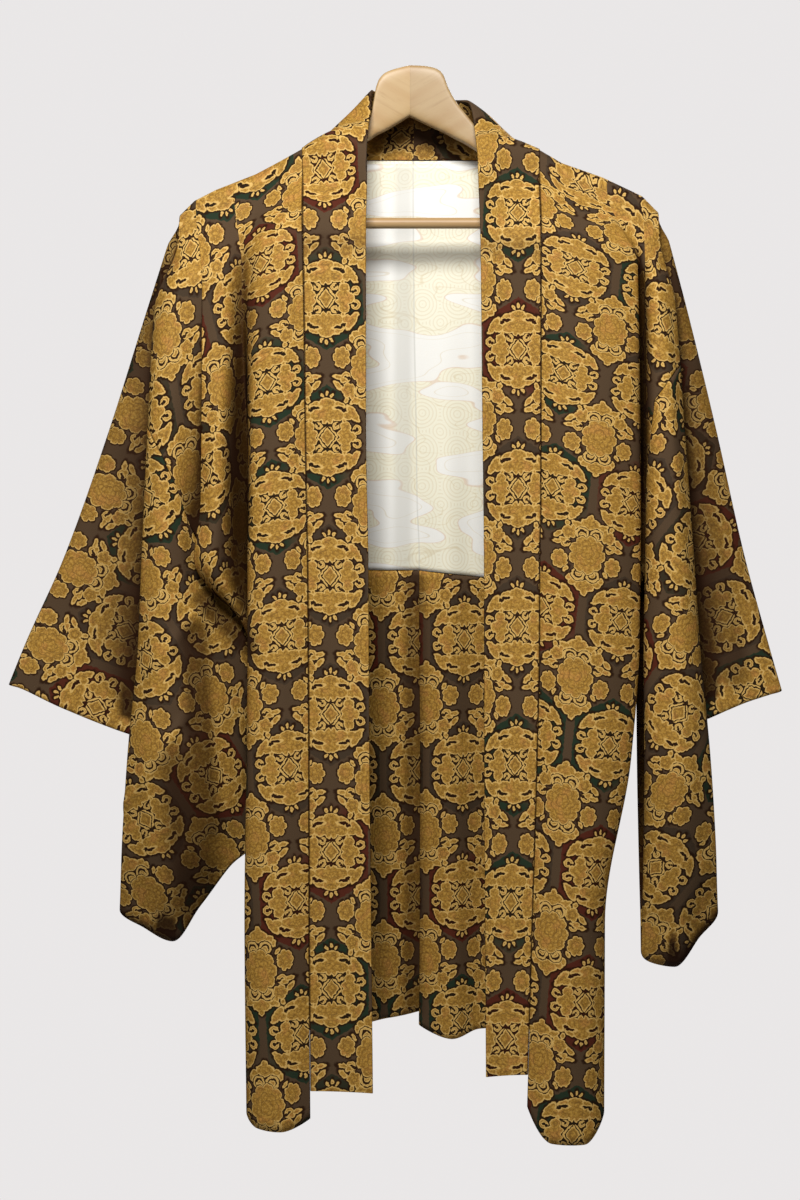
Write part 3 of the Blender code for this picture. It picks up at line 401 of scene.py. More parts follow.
def fold_table(folds, levels, depth=1.0):
    """The levels, out and y of a list of folds, with a row for each level and a column for each fold."""
    out = np.array([fold[1] for fold in folds], float).T
    y = np.array([fold[2] for fold in folds], float).T
    return np.asarray(levels, float), out, y * depth


def on_folds(table, place, drop):
    """out and y at fold positions and drops."""
    levels, out, y = table
    shape = drop.shape
    place = np.broadcast_to(place, shape).ravel()
    drop = drop.ravel()
    found_out = across(steady(levels, out, drop), place)
    found_y = across(steady(levels, y, drop), place)
    return found_out.reshape(shape), found_y.reshape(shape)


def placed(side, out, y, drop, low=CLOTH_LOW):
    """Points (x, y, z) from out, y and drop on one side: x is out or -out, and z is minus the drop."""
    return np.stack([SIGN[side] * out, y - MIDDLE_BACK, -drop - low], axis=-1)


def column_table(side, back):
    """The folds past the hanger's end; the back is the front turned over, standing less far out."""
    return fold_table(SLEEVE_FOLDS[side], SLEEVE_LEVELS, -SLEEVE_BACK_DEPTH if back else 1.0)


def fold_ends(side):
    """The top and bottom drops of the folds past the hanger's end."""
    folds = SLEEVE_FOLDS[side]
    return np.array([fold[3] for fold in folds], float), np.array([fold[4] for fold in folds], float)


def arm_depth(out):
    """y of the middle of the hanger's arm: it falls in a straight line from MIDDLE_BACK to 0 at the arm's end."""
    return MIDDLE_BACK * np.maximum(1 - out / HALF_SPAN, 0.0)


def shoulder_points(side, share):
    """out, drop and arm depth at shares of the way from the neck corner to the hanger's end."""
    line = np.array(SHOULDER_LINE[side], float)
    reach = run(np.hypot(*np.diff(line, axis=0).T))
    out = np.interp(share * reach[-1], reach, line[:, 0])
    return out, np.interp(share * reach[-1], reach, line[:, 1]), arm_depth(out)


def past_edge(places):
    """The share of the way from the column's edge to a sleeve's top fold, 0 before it."""
    return np.clip(places - SLEEVE_EDGE, 0.0, TOP_FOLD - SLEEVE_EDGE) / (TOP_FOLD - SLEEVE_EDGE)


def ring(side, back, places):
    """out, y and drop of the cloth's end over the hanger: a quarter round from the edge to the top fold."""
    line_out, line_drop, line_y = shoulder_points(side, np.ones(1))
    turn = np.pi / 2 * past_edge(places)
    y = line_y + (1 if back else -1) * SHOULDER_ROUND * np.cos(turn)
    return line_out[0] + SLEEVE_START + 0 * turn, y, line_drop[0] + SHOULDER_ROUND * (1 - np.sin(turn))


def sleeve_points(side):
    """A sleeve on a grid: rows run down it, and columns from the front inner edge out to the fold and back again.

    Each row is read across the fold table at its drops. Near the hanger it starts on a quarter round, and in the
    last BAG_ROUND of its drop the two sides close to the bottom seam, but stay apart along the cuff.
    """
    tops, bottoms = fold_ends(side)
    order = np.arange(len(tops))
    flat = np.linspace(SLEEVE_EDGE, TOP_FOLD, SLEEVE_STEPS)[1:]
    places = np.concatenate([np.linspace(0, SLEEVE_EDGE, SLEEVE_STEPS), flat])
    column = places <= SLEEVE_EDGE
    edge_top = tops[int(SLEEVE_EDGE)]
    ring_top = ring(side, False, places)[2]
    top = np.where(column, edge_top, ring_top)
    seam = np.where(column, np.interp(places, order, tops) + SEAM_GAP / 2, edge_top)
    seam += UNDERARM_GAP * np.clip(1 - places, 0.0, 1.0)
    bottom = steady(order, bottoms, places)
    upper = top + np.linspace(0.0, 1.0, SLEEVE_ROWS[0] + 1)[:, None] * (seam - top)
    lower = seam + np.linspace(0.0, 1.0, SLEEVE_ROWS[1] + 1)[1:, None] * (bottom - seam)
    drop = np.vstack([upper, lower])
    closing = np.clip((drop - bottom + BAG_ROUND) / BAG_ROUND, 0.0, 1.0) ** 2
    closing = closing * np.clip((CUFF_START - places) * 2, 0.0, 1.0)
    halves = []
    for back in (False, True):
        out, y = on_folds(column_table(side, back), places, drop)
        start_out, start_y, _ = ring(side, back, places)
        fall = SHOULDER_FALL - (SHOULDER_FALL - TOP_FALL) * past_edge(places)
        leaving = np.where(column, 1.0, eased((drop - ring_top) / fall))
        out = start_out + (out - start_out) * leaving
        y = start_y + (y - start_y) * leaving
        rest = BAG_HALF if back else -BAG_HALF
        halves.append(placed(side, out, y + (rest - y) * closing, drop))
    whole = np.concatenate([halves[0], halves[1][:, -2::-1]], axis=1)
    keep = np.ones((whole.shape[0] - 1, whole.shape[1] - 1), bool)
    keep[:SLEEVE_ROWS[0], : column.sum()] = False
    keep[:SLEEVE_ROWS[0], -column.sum() :] = False
    return whole, keep


def body_half(side, back):
    """out, y and drop of half a body length from the shoulder down, the ends of its rows, and the warp's path.

    The columns run from the first fold over the others, then over the column that the cloth forms past the
    hanger's end. The rows of the upper part end on the armhole seam; under it only the side seam goes on. A row
    near the shoulder lies part way between the shoulder's line and the fold table, by an eased share of its drop.
    """
    folds = BACK_FOLDS[side] if back else FRONT_FOLDS[side]
    table = fold_table(folds, BODY_LEVELS)
    seam = (BACK_SEAM if back else FRONT_SEAM)[side]
    places = BODY_PLACES + (NECK_CORNER if back else 0)
    last, next_one = BODY_SHARES
    body_share = BODY_PLACES / BODY_PLACES[-1]
    column_share = next_one + (1 - next_one) * COLUMN_PLACES / COLUMN_PLACES[-1]
    share = np.concatenate([body_share * last, last + (next_one - last) * BETWEEN, column_share])
    line_out, line_drop, line_y = shoulder_points(side, share)
    start_y = line_y + (SHOULDER_ROUND if back else -SHOULDER_ROUND)
    start = line_drop + SHOULDER_ROUND
    tops = fold_ends(side)[0]
    armhole = np.interp(COLUMN_PLACES, np.arange(len(tops)), tops) - SEAM_GAP / 2
    armhole[0] = UNDERARM
    body_end = UPPER_END[0] + (UPPER_END[1] - UPPER_END[0]) * body_share
    end = np.concatenate([body_end, np.full(len(BETWEEN), UNDERARM), armhole])
    first = len(places) + len(BETWEEN)

    def folded(drop):
        """out and y of a whole row at each row of drops."""
        body_out, body_y = on_folds(table, places, drop[:, : len(places)])
        side_out, side_y = on_folds(column_table(side, back), COLUMN_PLACES, drop[:, first:])
        middle_out = body_out[:, -1:] + (side_out[:, :1] - body_out[:, -1:]) * BETWEEN
        middle_y = body_y[:, -1:] + (side_y[:, :1] - body_y[:, -1:]) * BETWEEN
        return np.hstack([body_out, middle_out, side_out]), np.hstack([body_y, middle_y, side_y])

    upper = start + np.linspace(0.0, 1.0, BODY_ROWS[0] + 1)[:, None] * (end - start)
    out, y = folded(upper)
    leaving = eased((upper - start) / SHOULDER_FALL)
    upper_out = line_out + (out - line_out) * leaving
    upper_y = start_y + (y - start_y) * leaving
    hems = np.array([fold[3] for fold in folds], float)
    hem = steady(np.arange(len(folds)), hems, places)
    hem = np.concatenate([hem, np.full(len(share) - len(places), hems[-1])])
    lower = end + np.linspace(0.0, 1.0, BODY_ROWS[1] + 1)[1:, None] * (hem - end)
    out, y = folded(lower)
    out[:, first] = steady(SIDE_LEVELS, seam[0], lower[:, first])
    y[:, first] = steady(SIDE_LEVELS, seam[1], lower[:, first])
    edge = len(places)
    for grid in (out, y):
        start_line = grid[:, edge - 1 : edge]
        grid[:, edge:first] = start_line + (grid[:, first : first + 1] - start_line) * BETWEEN
    rows = np.vstack([upper_out, out]), np.vstack([upper_y, y]), np.vstack([upper, lower])
    return rows, (line_out, line_y, start)


def neck_part(side, corner_drop):
    """out, y and drop of the back between the middle seam and the neck corner, on rows that end at these drops.

    Away from the middle seam the drops turn into the corner's with the cube of the share of the way, and the depth
    of the neck seam into the corner's with its square.
    """
    folds = BACK_FOLDS[side]
    weight = NECK_PLACES / NECK_CORNER
    hem = steady(np.arange(len(folds)), [fold[3] for fold in folds], NECK_PLACES)
    share = ((corner_drop - corner_drop[0]) / (corner_drop[-1] - corner_drop[0]))[:, None]
    drop = NECK_DROP + share * (hem - NECK_DROP)
    drop = drop + (corner_drop[:, None] - drop) * weight**3
    out, y = on_folds(fold_table(folds, BODY_LEVELS), NECK_PLACES, drop)
    out[:, 0] += MIDDLE_GAP if side == "left" else 0.0
    corner_y = shoulder_points(side, np.zeros(1))[2][0] + SHOULDER_ROUND
    neck_y = NECK_BACK + (corner_y - NECK_BACK) * weight**2
    leaving = eased((drop - drop[0]) / SHOULDER_FALL)
    return out, neck_y + (y - neck_y) * leaving, drop


def body_points(side):
    """A body length on a grid, from the front hem over the shoulder to the back hem, which cells are cloth, and
    the warp's length up from the shoulder: below 0 at the front, and rising over the arm and down the back."""
    front, (line_out, line_y, start) = body_half(side, back=False)
    rear, _ = body_half(side, back=True)
    over = np.radians(np.linspace(0.0, 180.0, ARCH_ROWS)[1:-1])[:, None]
    arch = (
        line_out + 0 * over,
        line_y - SHOULDER_ROUND * np.cos(over),
        start - SHOULDER_ROUND * np.sin(over),
    )
    whole = [np.vstack([a[::-1], b, c]) for a, b, c in zip(front, arch, rear)]
    warp = np.vstack([(start - front[2])[::-1], SHOULDER_ROUND * over + 0 * start,
                      SHOULDER_ROUND * np.pi + rear[2] - start])
    rows_before = len(front[0]) + len(over)
    neck = neck_part(side, rear[2][:, 0])
    blank = np.zeros((rows_before, len(NECK_PLACES)))
    whole = [np.hstack([np.vstack([blank, a]), b]) for a, b in zip(neck, whole)]
    neck_warp = SHOULDER_ROUND * np.pi + neck[2] - start[0]
    warp = np.hstack([np.vstack([blank, neck_warp]), warp])
    points = placed(side, *whole)
    keep = np.ones((points.shape[0] - 1, points.shape[1] - 1), bool)
    keep[:rows_before, : len(NECK_PLACES)] = False
    last = len(NECK_PLACES) + len(BODY_PLACES) + len(BETWEEN)
    keep[: BODY_ROWS[1], last:] = False
    keep[-BODY_ROWS[1] :, last:] = False
    return points, keep, warp, rows_before


def band_seam_line(side):
    """The body's edge that the collar band is sewn to, from the front hem to the middle of the back."""
    points, _, _, rows_before = body_points(side)
    inner = len(NECK_PLACES)
    up = points[: rows_before + 1, inner]
    around = points[rows_before, :inner][::-1]
    return np.concatenate([up, around])


def band_half(side):
    """Rows of points across the band on one side, from the hem to the middle of the back.

    A row is a straight line from the seam to the free edge with a parabola of the table's rise added to it. Behind
    the neck the parabola rises straight up, and the row laps over the seam.
    """
    seam = band_seam_line(side)
    reach = run(np.linalg.norm(np.diff(seam, axis=0), axis=1))
    along = BAND_SHORT[side] + BAND_STATIONS * (reach[-1] - BAND_SHORT[side])
    inner = np.stack([np.interp(along, reach, seam[:, i]) for i in range(3)], axis=1)
    table = np.array(BAND_EDGE[side], float)
    edge = steady(table[:, 0], table[:, 1:], BAND_STATIONS)
    free = placed(side, edge[:, 0], edge[:, 1], edge[:, 2])
    chord = free - inner
    upward = eased((BAND_STATIONS - BAND_TURN[0]) / BAND_TURN[1])[:, None]
    gap = BAND_GAP - (BAND_GAP + BAND_LAP) * upward
    inner = inner + chord / np.linalg.norm(chord, axis=1, keepdims=True) * gap
    along = np.gradient(inner + free, axis=0)
    outward = np.cross(chord, along) * SIGN[side]
    outward /= np.linalg.norm(outward, axis=1, keepdims=True)
    outward = outward * (1 - upward) + np.array([0.0, 0.0, 1.0]) * upward
    f = np.linspace(0.0, 1.0, BAND_COLUMNS)[None, :, None]
    rise = edge[:, 3, None, None] * 4 * f * (1 - f)
    return inner[:, None] + (free - inner)[:, None] * f + outward[:, None] * rise


def lining_edge(side):
    """The drop of the lining's lower edge, from the middle seam to the neck corner."""
    return np.linspace(*LINING_EDGE[side], LINER_GRID[1])


def liner_points(side, top, bottom):
    """A cloth inside the back, over the folds from the middle seam to the neck corner, set forward of the back.

    top and bottom are drops along it; without them it runs from just under the neck seam, or down to the hem. The
    neck seam falls with the cube of the share of the way to the corner, and its depth changes with the square.
    """
    folds = BACK_FOLDS[side]
    places = np.linspace(0.0, NECK_CORNER, LINER_GRID[1])
    corner = shoulder_points(side, np.zeros(1))
    weight = places / NECK_CORNER
    start = NECK_DROP + (corner[1][0] + SHOULDER_ROUND - NECK_DROP) * weight**3
    hem = steady(np.arange(len(folds)), [fold[3] for fold in folds], places) - FACING_SHORT
    below_neck = LINING_TOP[0] + (LINING_TOP[1] - LINING_TOP[0]) * weight**4
    top = start + below_neck if top is None else top
    bottom = hem if bottom is None else bottom
    drop = top + np.linspace(0.0, 1.0, LINER_GRID[0])[:, None] * (bottom - top)
    out, y = on_folds(fold_table(folds, BODY_LEVELS), places, drop)
    neck_y = NECK_BACK + (corner[2][0] + SHOULDER_ROUND - NECK_BACK) * weight**2
    leaving = eased((drop - start) / SHOULDER_FALL)
    inset = LINING_INSIDE[0] + (LINING_INSIDE[1] - LINING_INSIDE[0]) * leaving
    return placed(side, out, neck_y + (y - neck_y) * leaving - inset, drop)


def gusset_points(side):
    """The tapered cloth between the front and back side seams: each row is a straight line, tucked inwards by a
    parabola that deepens from the point to the hem."""
    front_hem = FRONT_FOLDS[side][-1][3]
    back_hem = BACK_FOLDS[side][-1][3]
    rows = np.linspace(GUSSET_TOP, 1.0, GUSSET_GRID[0])
    widening = (rows - rows[0]) / (1 - rows[0])
    columns = []
    for share in np.linspace(0.0, 1.0, GUSSET_GRID[1]):
        drop = UNDERARM + rows * (front_hem + (back_hem - front_hem) * share - UNDERARM)
        front = steady(SIDE_LEVELS, np.array(FRONT_SEAM[side]).T, drop)
        back = steady(SIDE_LEVELS, np.array(BACK_SEAM[side]).T, drop)
        front[:, 1] += GUSSET_INSET
        back[:, 1] -= GUSSET_INSET
        middle = front + (back - front) * share
        tuck = 4 * share * (1 - share) * GUSSET_TUCK * widening
        columns.append(placed(side, middle[:, 0] - tuck, middle[:, 1], drop))
    return np.stack(columns, axis=1)


def colour(name, description, value):
    """A setting that holds a colour."""
    return FloatVectorProperty(name=name, description=description, default=value, subtype="COLOR", min=0, max=1)


class HaoriCloth(bpy.types.PropertyGroup):
    """Sizes and colours of the cloth."""

    wall: FloatProperty(name="Wall", description="Thickness of a single cloth", default=0.0011, unit="LENGTH")
    band_wall: FloatProperty(name="Band wall", description="Thickness of the doubled collar band", default=0.0024,
                             unit="LENGTH")
    gold: colour("Gold", "Woven gold of the flowers", (0.54, 0.305, 0.060))
    gold_deep: colour("Deep gold", "Darker patches of the flowers", (0.34, 0.172, 0.026))
    gold_warm: colour("Warm gold", "Orange tinge here and there in the flowers", (0.56, 0.245, 0.065))
    gold_line: colour("Gold line", "Lines drawn inside the flowers", (0.185, 0.092, 0.022))
    gold_edge: colour("Gold edge", "Pale outline of the flowers", (0.69, 0.435, 0.130))
    ground: colour("Ground", "Brown of the cloth", (0.087, 0.053, 0.028))
    ground_dark: colour("Dark ground", "Darker brown behind some flowers", (0.058, 0.038, 0.022))
    green: colour("Green", "Green behind some flowers", (0.019, 0.034, 0.018))
    wine: colour("Wine", "Wine red behind some flowers", (0.090, 0.020, 0.010))
    # Besides the flowers' dark outline, this is the colour of the painted shade that darkens the silk in its folds,
    # along its seams and under the hanger.
    shadow: colour("Shadow line", "Dark line round the flowers", (0.020, 0.0055, 0.0010))
    lining: colour("Lining", "Pale silk of the lining", (0.86, 0.85, 0.80))
    lining_cream: colour("Lining cream", "Cream banks in the lining", (0.86, 0.82, 0.62))
    lining_line: colour("Lining line", "Faint gold lines in the lining", (0.62, 0.50, 0.28))
    # Colour of the painted shade in the lining: at its middle seam, beside it, and in the painted shadow under the
    # hanger's bar.
    lining_shade: colour("Lining shade", "The lining where it sinks at its middle seam", (0.50, 0.49, 0.44))
    lining_rust: colour("Lining rust", "Faint rust lines in the lining", (0.62, 0.33, 0.16))


class HaoriHanger(bpy.types.PropertyGroup):
    """Colours of the hanger."""

    wood: colour("Wood", "Pale wood", (0.50, 0.34, 0.165))
    wood_band: colour("Wood band", "Darker bands of the wood", (0.44, 0.27, 0.115))
    wood_grain: colour("Wood grain", "Fine lines of the grain", (0.29, 0.15, 0.055))


class HaoriStage(bpy.types.PropertyGroup):
    """Floor, camera and lights."""

    floor_drop: FloatProperty(name="Floor", description="Depth of the floor below the hanger", default=1.75,
                              unit="LENGTH")
    camera_back: FloatProperty(name="Camera distance", description="Distance of the camera in front of the hanger",
                               default=2.072, unit="LENGTH")
    camera_tilt: FloatProperty(name="Camera tilt", description="How far the camera looks down", default=0.05393,
                               unit="ROTATION")
    key_power: FloatProperty(name="Key light", description="Power of the light in front and above, in watts",
                             default=34.0)
    front_power: FloatProperty(name="Front light", description="Power of the light straight in front, in watts",
                               default=5.0)
    back_power: FloatProperty(name="Back light", description="Power of the light behind, in watts", default=45.0)
    room_light: FloatProperty(name="Room light", description="Strength of the pale light all round", default=0.09)
    backdrop: colour("Backdrop", "Pale light all round", (0.82, 0.80, 0.80))


def settings():
    """The settings of the cloth."""
    return bpy.context.scene.haori_cloth


def colours_of(group):
    """The colours of a group of settings by name."""
    values = {key: getattr(group, key) for key in group.__annotations__}
    return {key: tuple(value) for key, value in values.items() if not isinstance(value, float)}


class Number:
    """One number that a node gives; arithmetic on it adds Math nodes to its material."""

    def __init__(self, shade, socket):
        self.shade = shade
        self.socket = socket

    def __add__(self, other):
        return self.shade.maths("ADD", self, other)

    def __sub__(self, other):
        return self.shade.maths("SUBTRACT", self, other)

    def __rsub__(self, other):
        return self.shade.maths("SUBTRACT", other, self)

    def __mul__(self, other):
        return self.shade.maths("MULTIPLY", self, other)

    def __neg__(self):
        return self.shade.maths("MULTIPLY", self, -1.0)

    def __abs__(self):
        return self.shade.maths("ABSOLUTE", self)

    __radd__ = __add__
    __rmul__ = __mul__


class Shade:
    """The nodes of one material."""

    def __init__(self, name):
        self.material = bpy.data.materials.new(name)
        self.material.use_nodes = True
        self.tree = self.material.node_tree
        self.tree.nodes.clear()

    def node(self, kind, values=(), settings=(), output=0):
        """Add a node: its settings first, then the values or links of its sockets by name or number."""
        made = self.tree.nodes.new(kind)
        for key, value in dict(settings).items():
            setattr(made, key, value)
        for key, value in dict(values).items():
            socket = made.inputs[key]
            if isinstance(value, Number):
                self.tree.links.new(value.socket, socket)
            else:
                socket.default_value = value
        return Number(self, made.outputs[output]) if len(made.outputs) else None

    def maths(self, operation, *values):
        """A Math node of numbers."""
        return self.node("ShaderNodeMath", enumerate(values), {"operation": operation})

    def vector(self, operation, *values, output=0):
        """A Vector Math node."""
        return self.node("ShaderNodeVectorMath", enumerate(values), {"operation": operation}, output)

    def length(self, at):
        """The length of a vector."""
        return self.vector("LENGTH", at, output=1)

    def along(self, at, direction):
        """The dot product of a vector and a fixed direction."""
        return self.vector("DOT_PRODUCT", at, direction, output=1)

    def scaled(self, at, by):
        """A vector with its parts multiplied by those of a fixed one."""
        return self.vector("MULTIPLY", at, by)

    def less(self, at, by):
        """One vector less another."""
        return self.vector("SUBTRACT", at, by)

    def highest(self, *values):
        """The highest of several numbers, which is the union of fields that are above 0 inside."""
        return reduce(lambda found, value: self.maths("MAXIMUM", found, value), values)

    def lowest(self, *values):
        """The lowest of several numbers, which is the part that fields have in common."""
        return reduce(lambda found, value: self.maths("MINIMUM", found, value), values)

    def step(self, low, high, value):
        """0 below low and 1 above high, eased between; low may be above high."""
        values = {"Value": value, "From Min": low, "From Max": high}
        return self.node("ShaderNodeMapRange", values, {"interpolation_type": "SMOOTHSTEP"})

    def blend(self, share, first, second):
        """A colour from first at share 0 to second at share 1. Sockets 6 and 7 of a Mix node are its colours."""
        first, second = (value if isinstance(value, Number) else (*value, 1.0) for value in (first, second))
        return self.node("ShaderNodeMix", {0: share, 6: first, 7: second}, {"data_type": "RGBA"}, output=2)

    def noise(self, at, scale, detail=2.0, output=0, flat=True):
        """Noise from 0 to 1 in the plane, or in space where it isn't flat. Its output 1 is a colour."""
        values = {"Vector": at, "Scale": scale, "Detail": detail}
        return self.node("ShaderNodeTexNoise", values, {"noise_dimensions": "2D" if flat else "3D"}, output)

    def cloth_at(self):
        """The cloth's own coordinates in millimetres."""
        return self.node("ShaderNodeUVMap", (), {"uv_map": "Cloth"})

    def object_at(self):
        """Object coordinates in metres."""
        return self.node("ShaderNodeTexCoord", output=3)

    def wandering(self, at, scale, reach):
        """Coordinates that a broad noise moves to and fro, by half the reach at most."""
        drift = self.less(self.noise(at, scale, 1.0, output=1), (0.5, 0.5, 0.5))
        return self.vector("ADD", at, self.scaled(drift, (reach, reach, 0.0)))

    def reach(self, at, x, y, wide, high, turn=0.0):
        """The distance from a point, as a share of an oval's half sizes, turned by an angle in degrees."""
        values = {"Vector": at, "Location": (x, y, 0), "Rotation": (0, 0, np.radians(turn)), "Scale": (wide, high, 1)}
        return self.length(self.node("ShaderNodeMapping", values, {"vector_type": "TEXTURE"}))

    def oval(self, at, x, y, wide, high, turn=0.0):
        """Roughly the distance in from the rim of an oval with these half sizes."""
        small = min(wide, high)
        return small - self.reach(at, x, y, wide, high, turn) * small

    def ovals(self, at, table):
        """The union of several ovals. Columns: x, y, half width, half height, turn in degrees."""
        return self.highest(*(self.oval(at, *row) for row in table))

    def curl(self, at, x, y, size, wide, turn=0.0):
        """A crescent that ends in a bud: a ring, open towards its turn."""
        around = wide - abs(self.reach(at, x, y, size, size) * size - size)
        angle = np.radians(turn)
        gap = self.oval(at, x + size * np.cos(angle), y + size * np.sin(angle), size * 0.62, size * 0.5, turn)
        return self.lowest(around, -gap)

    def blossom(self, at, x, y, radius, petals, depth):
        """A round flower: radius * (1 - depth + depth * sqrt|cos(petals * angle / 2)|) less the reach."""
        local = self.less(at, (x, y, 0.0))
        parts = self.node("ShaderNodeSeparateXYZ", {"Vector": local}).socket.node.outputs
        angle = self.maths("ARCTAN2", Number(self, parts[1]), Number(self, parts[0]))
        lobe = abs(self.maths("COSINE", angle * (petals / 2)))
        return self.maths("SQRT", lobe) * (radius * depth) + radius * (1 - depth) - self.length(local)

    def seam_and_painted_shade(self):
        """The distance from a seam, and the painted shade of the cloth from 0 to 1: in its folds and in the hanger's
        painted shadows.
        """
        read = self.node("ShaderNodeUVMap", (), {"uv_map": "Seam"})
        return self.along(read, (1.0, 0.0, 0.0)), self.along(read, (0.0, 1.0, 0.0))

    def surface(self, colour, roughness, bump=None, bump_distance=0.0002, bump_strength=0.4, **constants):
        """The Principled surface and the material's output."""
        values = {"Base Color": colour, "Roughness": roughness}
        values.update({key.replace("_", " "): value for key, value in constants.items()})
        if bump is not None:
            heights = {"Height": bump, "Distance": bump_distance, "Strength": bump_strength}
            values["Normal"] = self.node("ShaderNodeBump", heights)
        made = self.node("ShaderNodeBsdfPrincipled", values)
        self.node("ShaderNodeOutputMaterial", {"Surface": made})
        return self.material


# Ovals of the lozenge flower, in one quarter of it, and of the round flower, in one half. Columns: x, y, half width,
# half height, turn in degrees.
CROWN = (
    (0.0, 22.4, 13.2, 8.4),
    (0.0, 28.6, 8.4, 5.6),
    (10.0, 18.4, 6.4, 4.6, 10),
    (0.0, 15.2, 5.6, 4.2),
    (11.4, 28.2, 6.0, 2.7, -24),
)
WING = (
    (23.2, 20.4, 9.2, 3.8, -56),
    (18.8, 18.4, 4.6, 3.8, -12),
    (27.0, 15.2, 3.4, 1.9, -34),
    (15.4, 14.2, 1.9, 2.2, 30),
)
SIDE_LEAVES = (
    (15.8, 0.0, 7.8, 7.6),
    (16.6, 8.8, 5.0, 4.7, -10),
    (22.6, 0.0, 3.6, 4.6),
)
DOTS = (
    (0.0, 38.2, 1.3, 2.2),
    (4.4, 36.4, 1.25, 2.2, -34),
)
FAN = (
    (0.0, 31.5, 9.5, 6.0),
    (0.0, 36.8, 3.2, 4.4),
    (10.6, 28.6, 4.8, 3.6, 24),
    (14.6, 25.0, 2.6, 3.8, -16),
)
SPRIG = (
    (28.0, -8.2, 5.2, 2.2, 8),
    (28.4, -15.6, 5.4, 2.5, 44),
    (23.2, -10.8, 3.4, 2.6, -10),
)
BUDS = (
    (18.2, 17.6, 3.4, 1.7, 56),
    (21.4, 13.4, 2.4, 1.8, -20),
    (13.4, -29.4, 4.8, 2.3, -38),
    (20.6, -28.8, 2.2, 3.0, 20),
)


def lozenge_flower(shade, at):
    """The upright lozenge flower, and the line inside its heart.

    It is the same in its four quarters, so it is drawn once in their common one.
    """
    q = shade.vector("ABSOLUTE", at)
    slope = shade.along(q, (0.783, 0.621, 0.0))
    heart = 5.4 - slope
    frame = shade.lowest(0.7 - abs(slope - 7.3), 9.2 - shade.length(q))
    crown = shade.ovals(q, CROWN)
    wing = shade.ovals(q, WING)
    crown = shade.lowest(crown, -shade.oval(q, 11.2, 25.4, 4.5, 1.45, -4))
    side = shade.highest(
        shade.ovals(q, SIDE_LEAVES),
        shade.curl(q, 27.2, 6.2, 2.9, 1.3, 205),
        shade.curl(q, 7.8, 9.9, 2.2, 1.1, 40),
    )
    dots = shade.ovals(q, DOTS)
    rest = shade.lowest(shade.highest(crown, wing, side), slope - 8.5)
    return shade.highest(rest, heart, frame, dots), abs(heart - 2.3)


def round_flower(shade, at):
    """The round flower: a full blossom with a fan and two scrolls at each end, and a sprig, a small and a scalloped
    flower beside it, the same on its left and right. It gives the field and the lines of its petals."""
    mirror = shade.vector("ABSOLUTE", at)
    q = shade.scaled(at, (0.0, 1.0, 0.0))
    p = shade.vector("ADD", shade.scaled(mirror, (1.0, 0.0, 0.0)), q)
    squeezed = shade.scaled(at, (1.1, 0.93, 0.0))
    blossom = shade.blossom(squeezed, 0.0, 0.0, 18.6, 9, 0.2)
    middle = shade.blossom(squeezed, 0.0, -1.6, 12.4, 7, 0.3)
    inner = shade.blossom(squeezed, 0.0, -2.4, 6.6, 5, 0.3)
    fan = shade.ovals(mirror, FAN)
    from_scroll = shade.length(shade.less(mirror, (6.6, 20.6, 0.0)))
    from_bud = shade.length(shade.less(mirror, (6.2, 19.4, 0.0)))
    fan = shade.lowest(fan, from_scroll - 7.2)
    scroll = shade.highest(0.95 - abs(from_scroll - 5.2), 1.5 - abs(from_bud - 1.7))
    scalloped = shade.blossom(shade.scaled(p, (1.06, 0.88, 0.0)), 26.2, 7.9, 8.6, 7, 0.24)
    small = shade.blossom(p, 18.6, -19.8, 6.8, 5, 0.24)
    sprig = shade.highest(shade.ovals(p, SPRIG), shade.curl(p, 20.8, -8.6, 3.2, 1.4, 200))
    buds = shade.ovals(p, BUDS)
    rest = shade.highest(fan, shade.lowest(scroll, -blossom - 0.9))
    rest = shade.highest(rest, shade.lowest(shade.highest(scalloped, small, sprig, buds), -blossom - 1.1))
    petals = shade.lowest(abs(middle), abs(inner), abs(scalloped - 4.6), abs(small - 3.4))
    return shade.highest(rest, blossom), petals


def silk_ground(shade, flat, cell, first, colours):
    """The brown ground, and the six-sided ground of each whole lozenge flower, coloured by chance."""
    chance = shade.node("ShaderNodeTexWhiteNoise", {"Vector": cell}, {"noise_dimensions": "2D"})
    q = shade.vector("ABSOLUTE", first)
    side = shade.along(q, (1.0, 0.0, 0.0))
    slant = shade.along(q, (0.52, 0.86, 0.0))
    within = shade.step(-0.3, 0.3, shade.lowest(34.0 - side, 40.5 - slant))
    patches = shade.step(0.35, 0.55, shade.noise(flat, 0.012, 1.0) + 0.12)
    tinted = shade.blend(shade.step(0.33, 0.36, chance), colours["green"], colours["wine"])
    tinted = shade.blend(shade.step(0.62, 0.65, chance), tinted, colours["ground_dark"])
    return shade.blend(within * patches, colours["ground"], tinted)


def silk_gold(shade, flat, at, field, own, colours):
    """The gold of the flowers: mottled and warmer in places, with lines that echo the outline, the flowers' own
    lines and a crackle."""
    mottle = shade.noise(flat, 0.42, 2.0)
    gold = shade.blend(shade.step(0.3, 0.7, mottle), colours["gold_deep"], colours["gold"])
    warm = shade.noise(flat, 0.07, 1.0)
    gold = shade.blend(shade.step(0.52, 0.75, warm) * 0.45, gold, colours["gold_warm"])
    echo = shade.step(0.75, 0.2, abs(field - 3.0)) * shade.step(0.42, 0.58, shade.noise(flat, 0.16, 1.0))
    crackle = shade.node("ShaderNodeTexVoronoi", {"Vector": at, "Scale": 0.24},
                         {"voronoi_dimensions": "2D", "feature": "DISTANCE_TO_EDGE"})
    lines = shade.highest(echo * 0.7, own * 0.7, shade.step(0.12, 0.03, crackle) * 0.5)
    return shade.blend(lines, gold, colours["gold_line"])


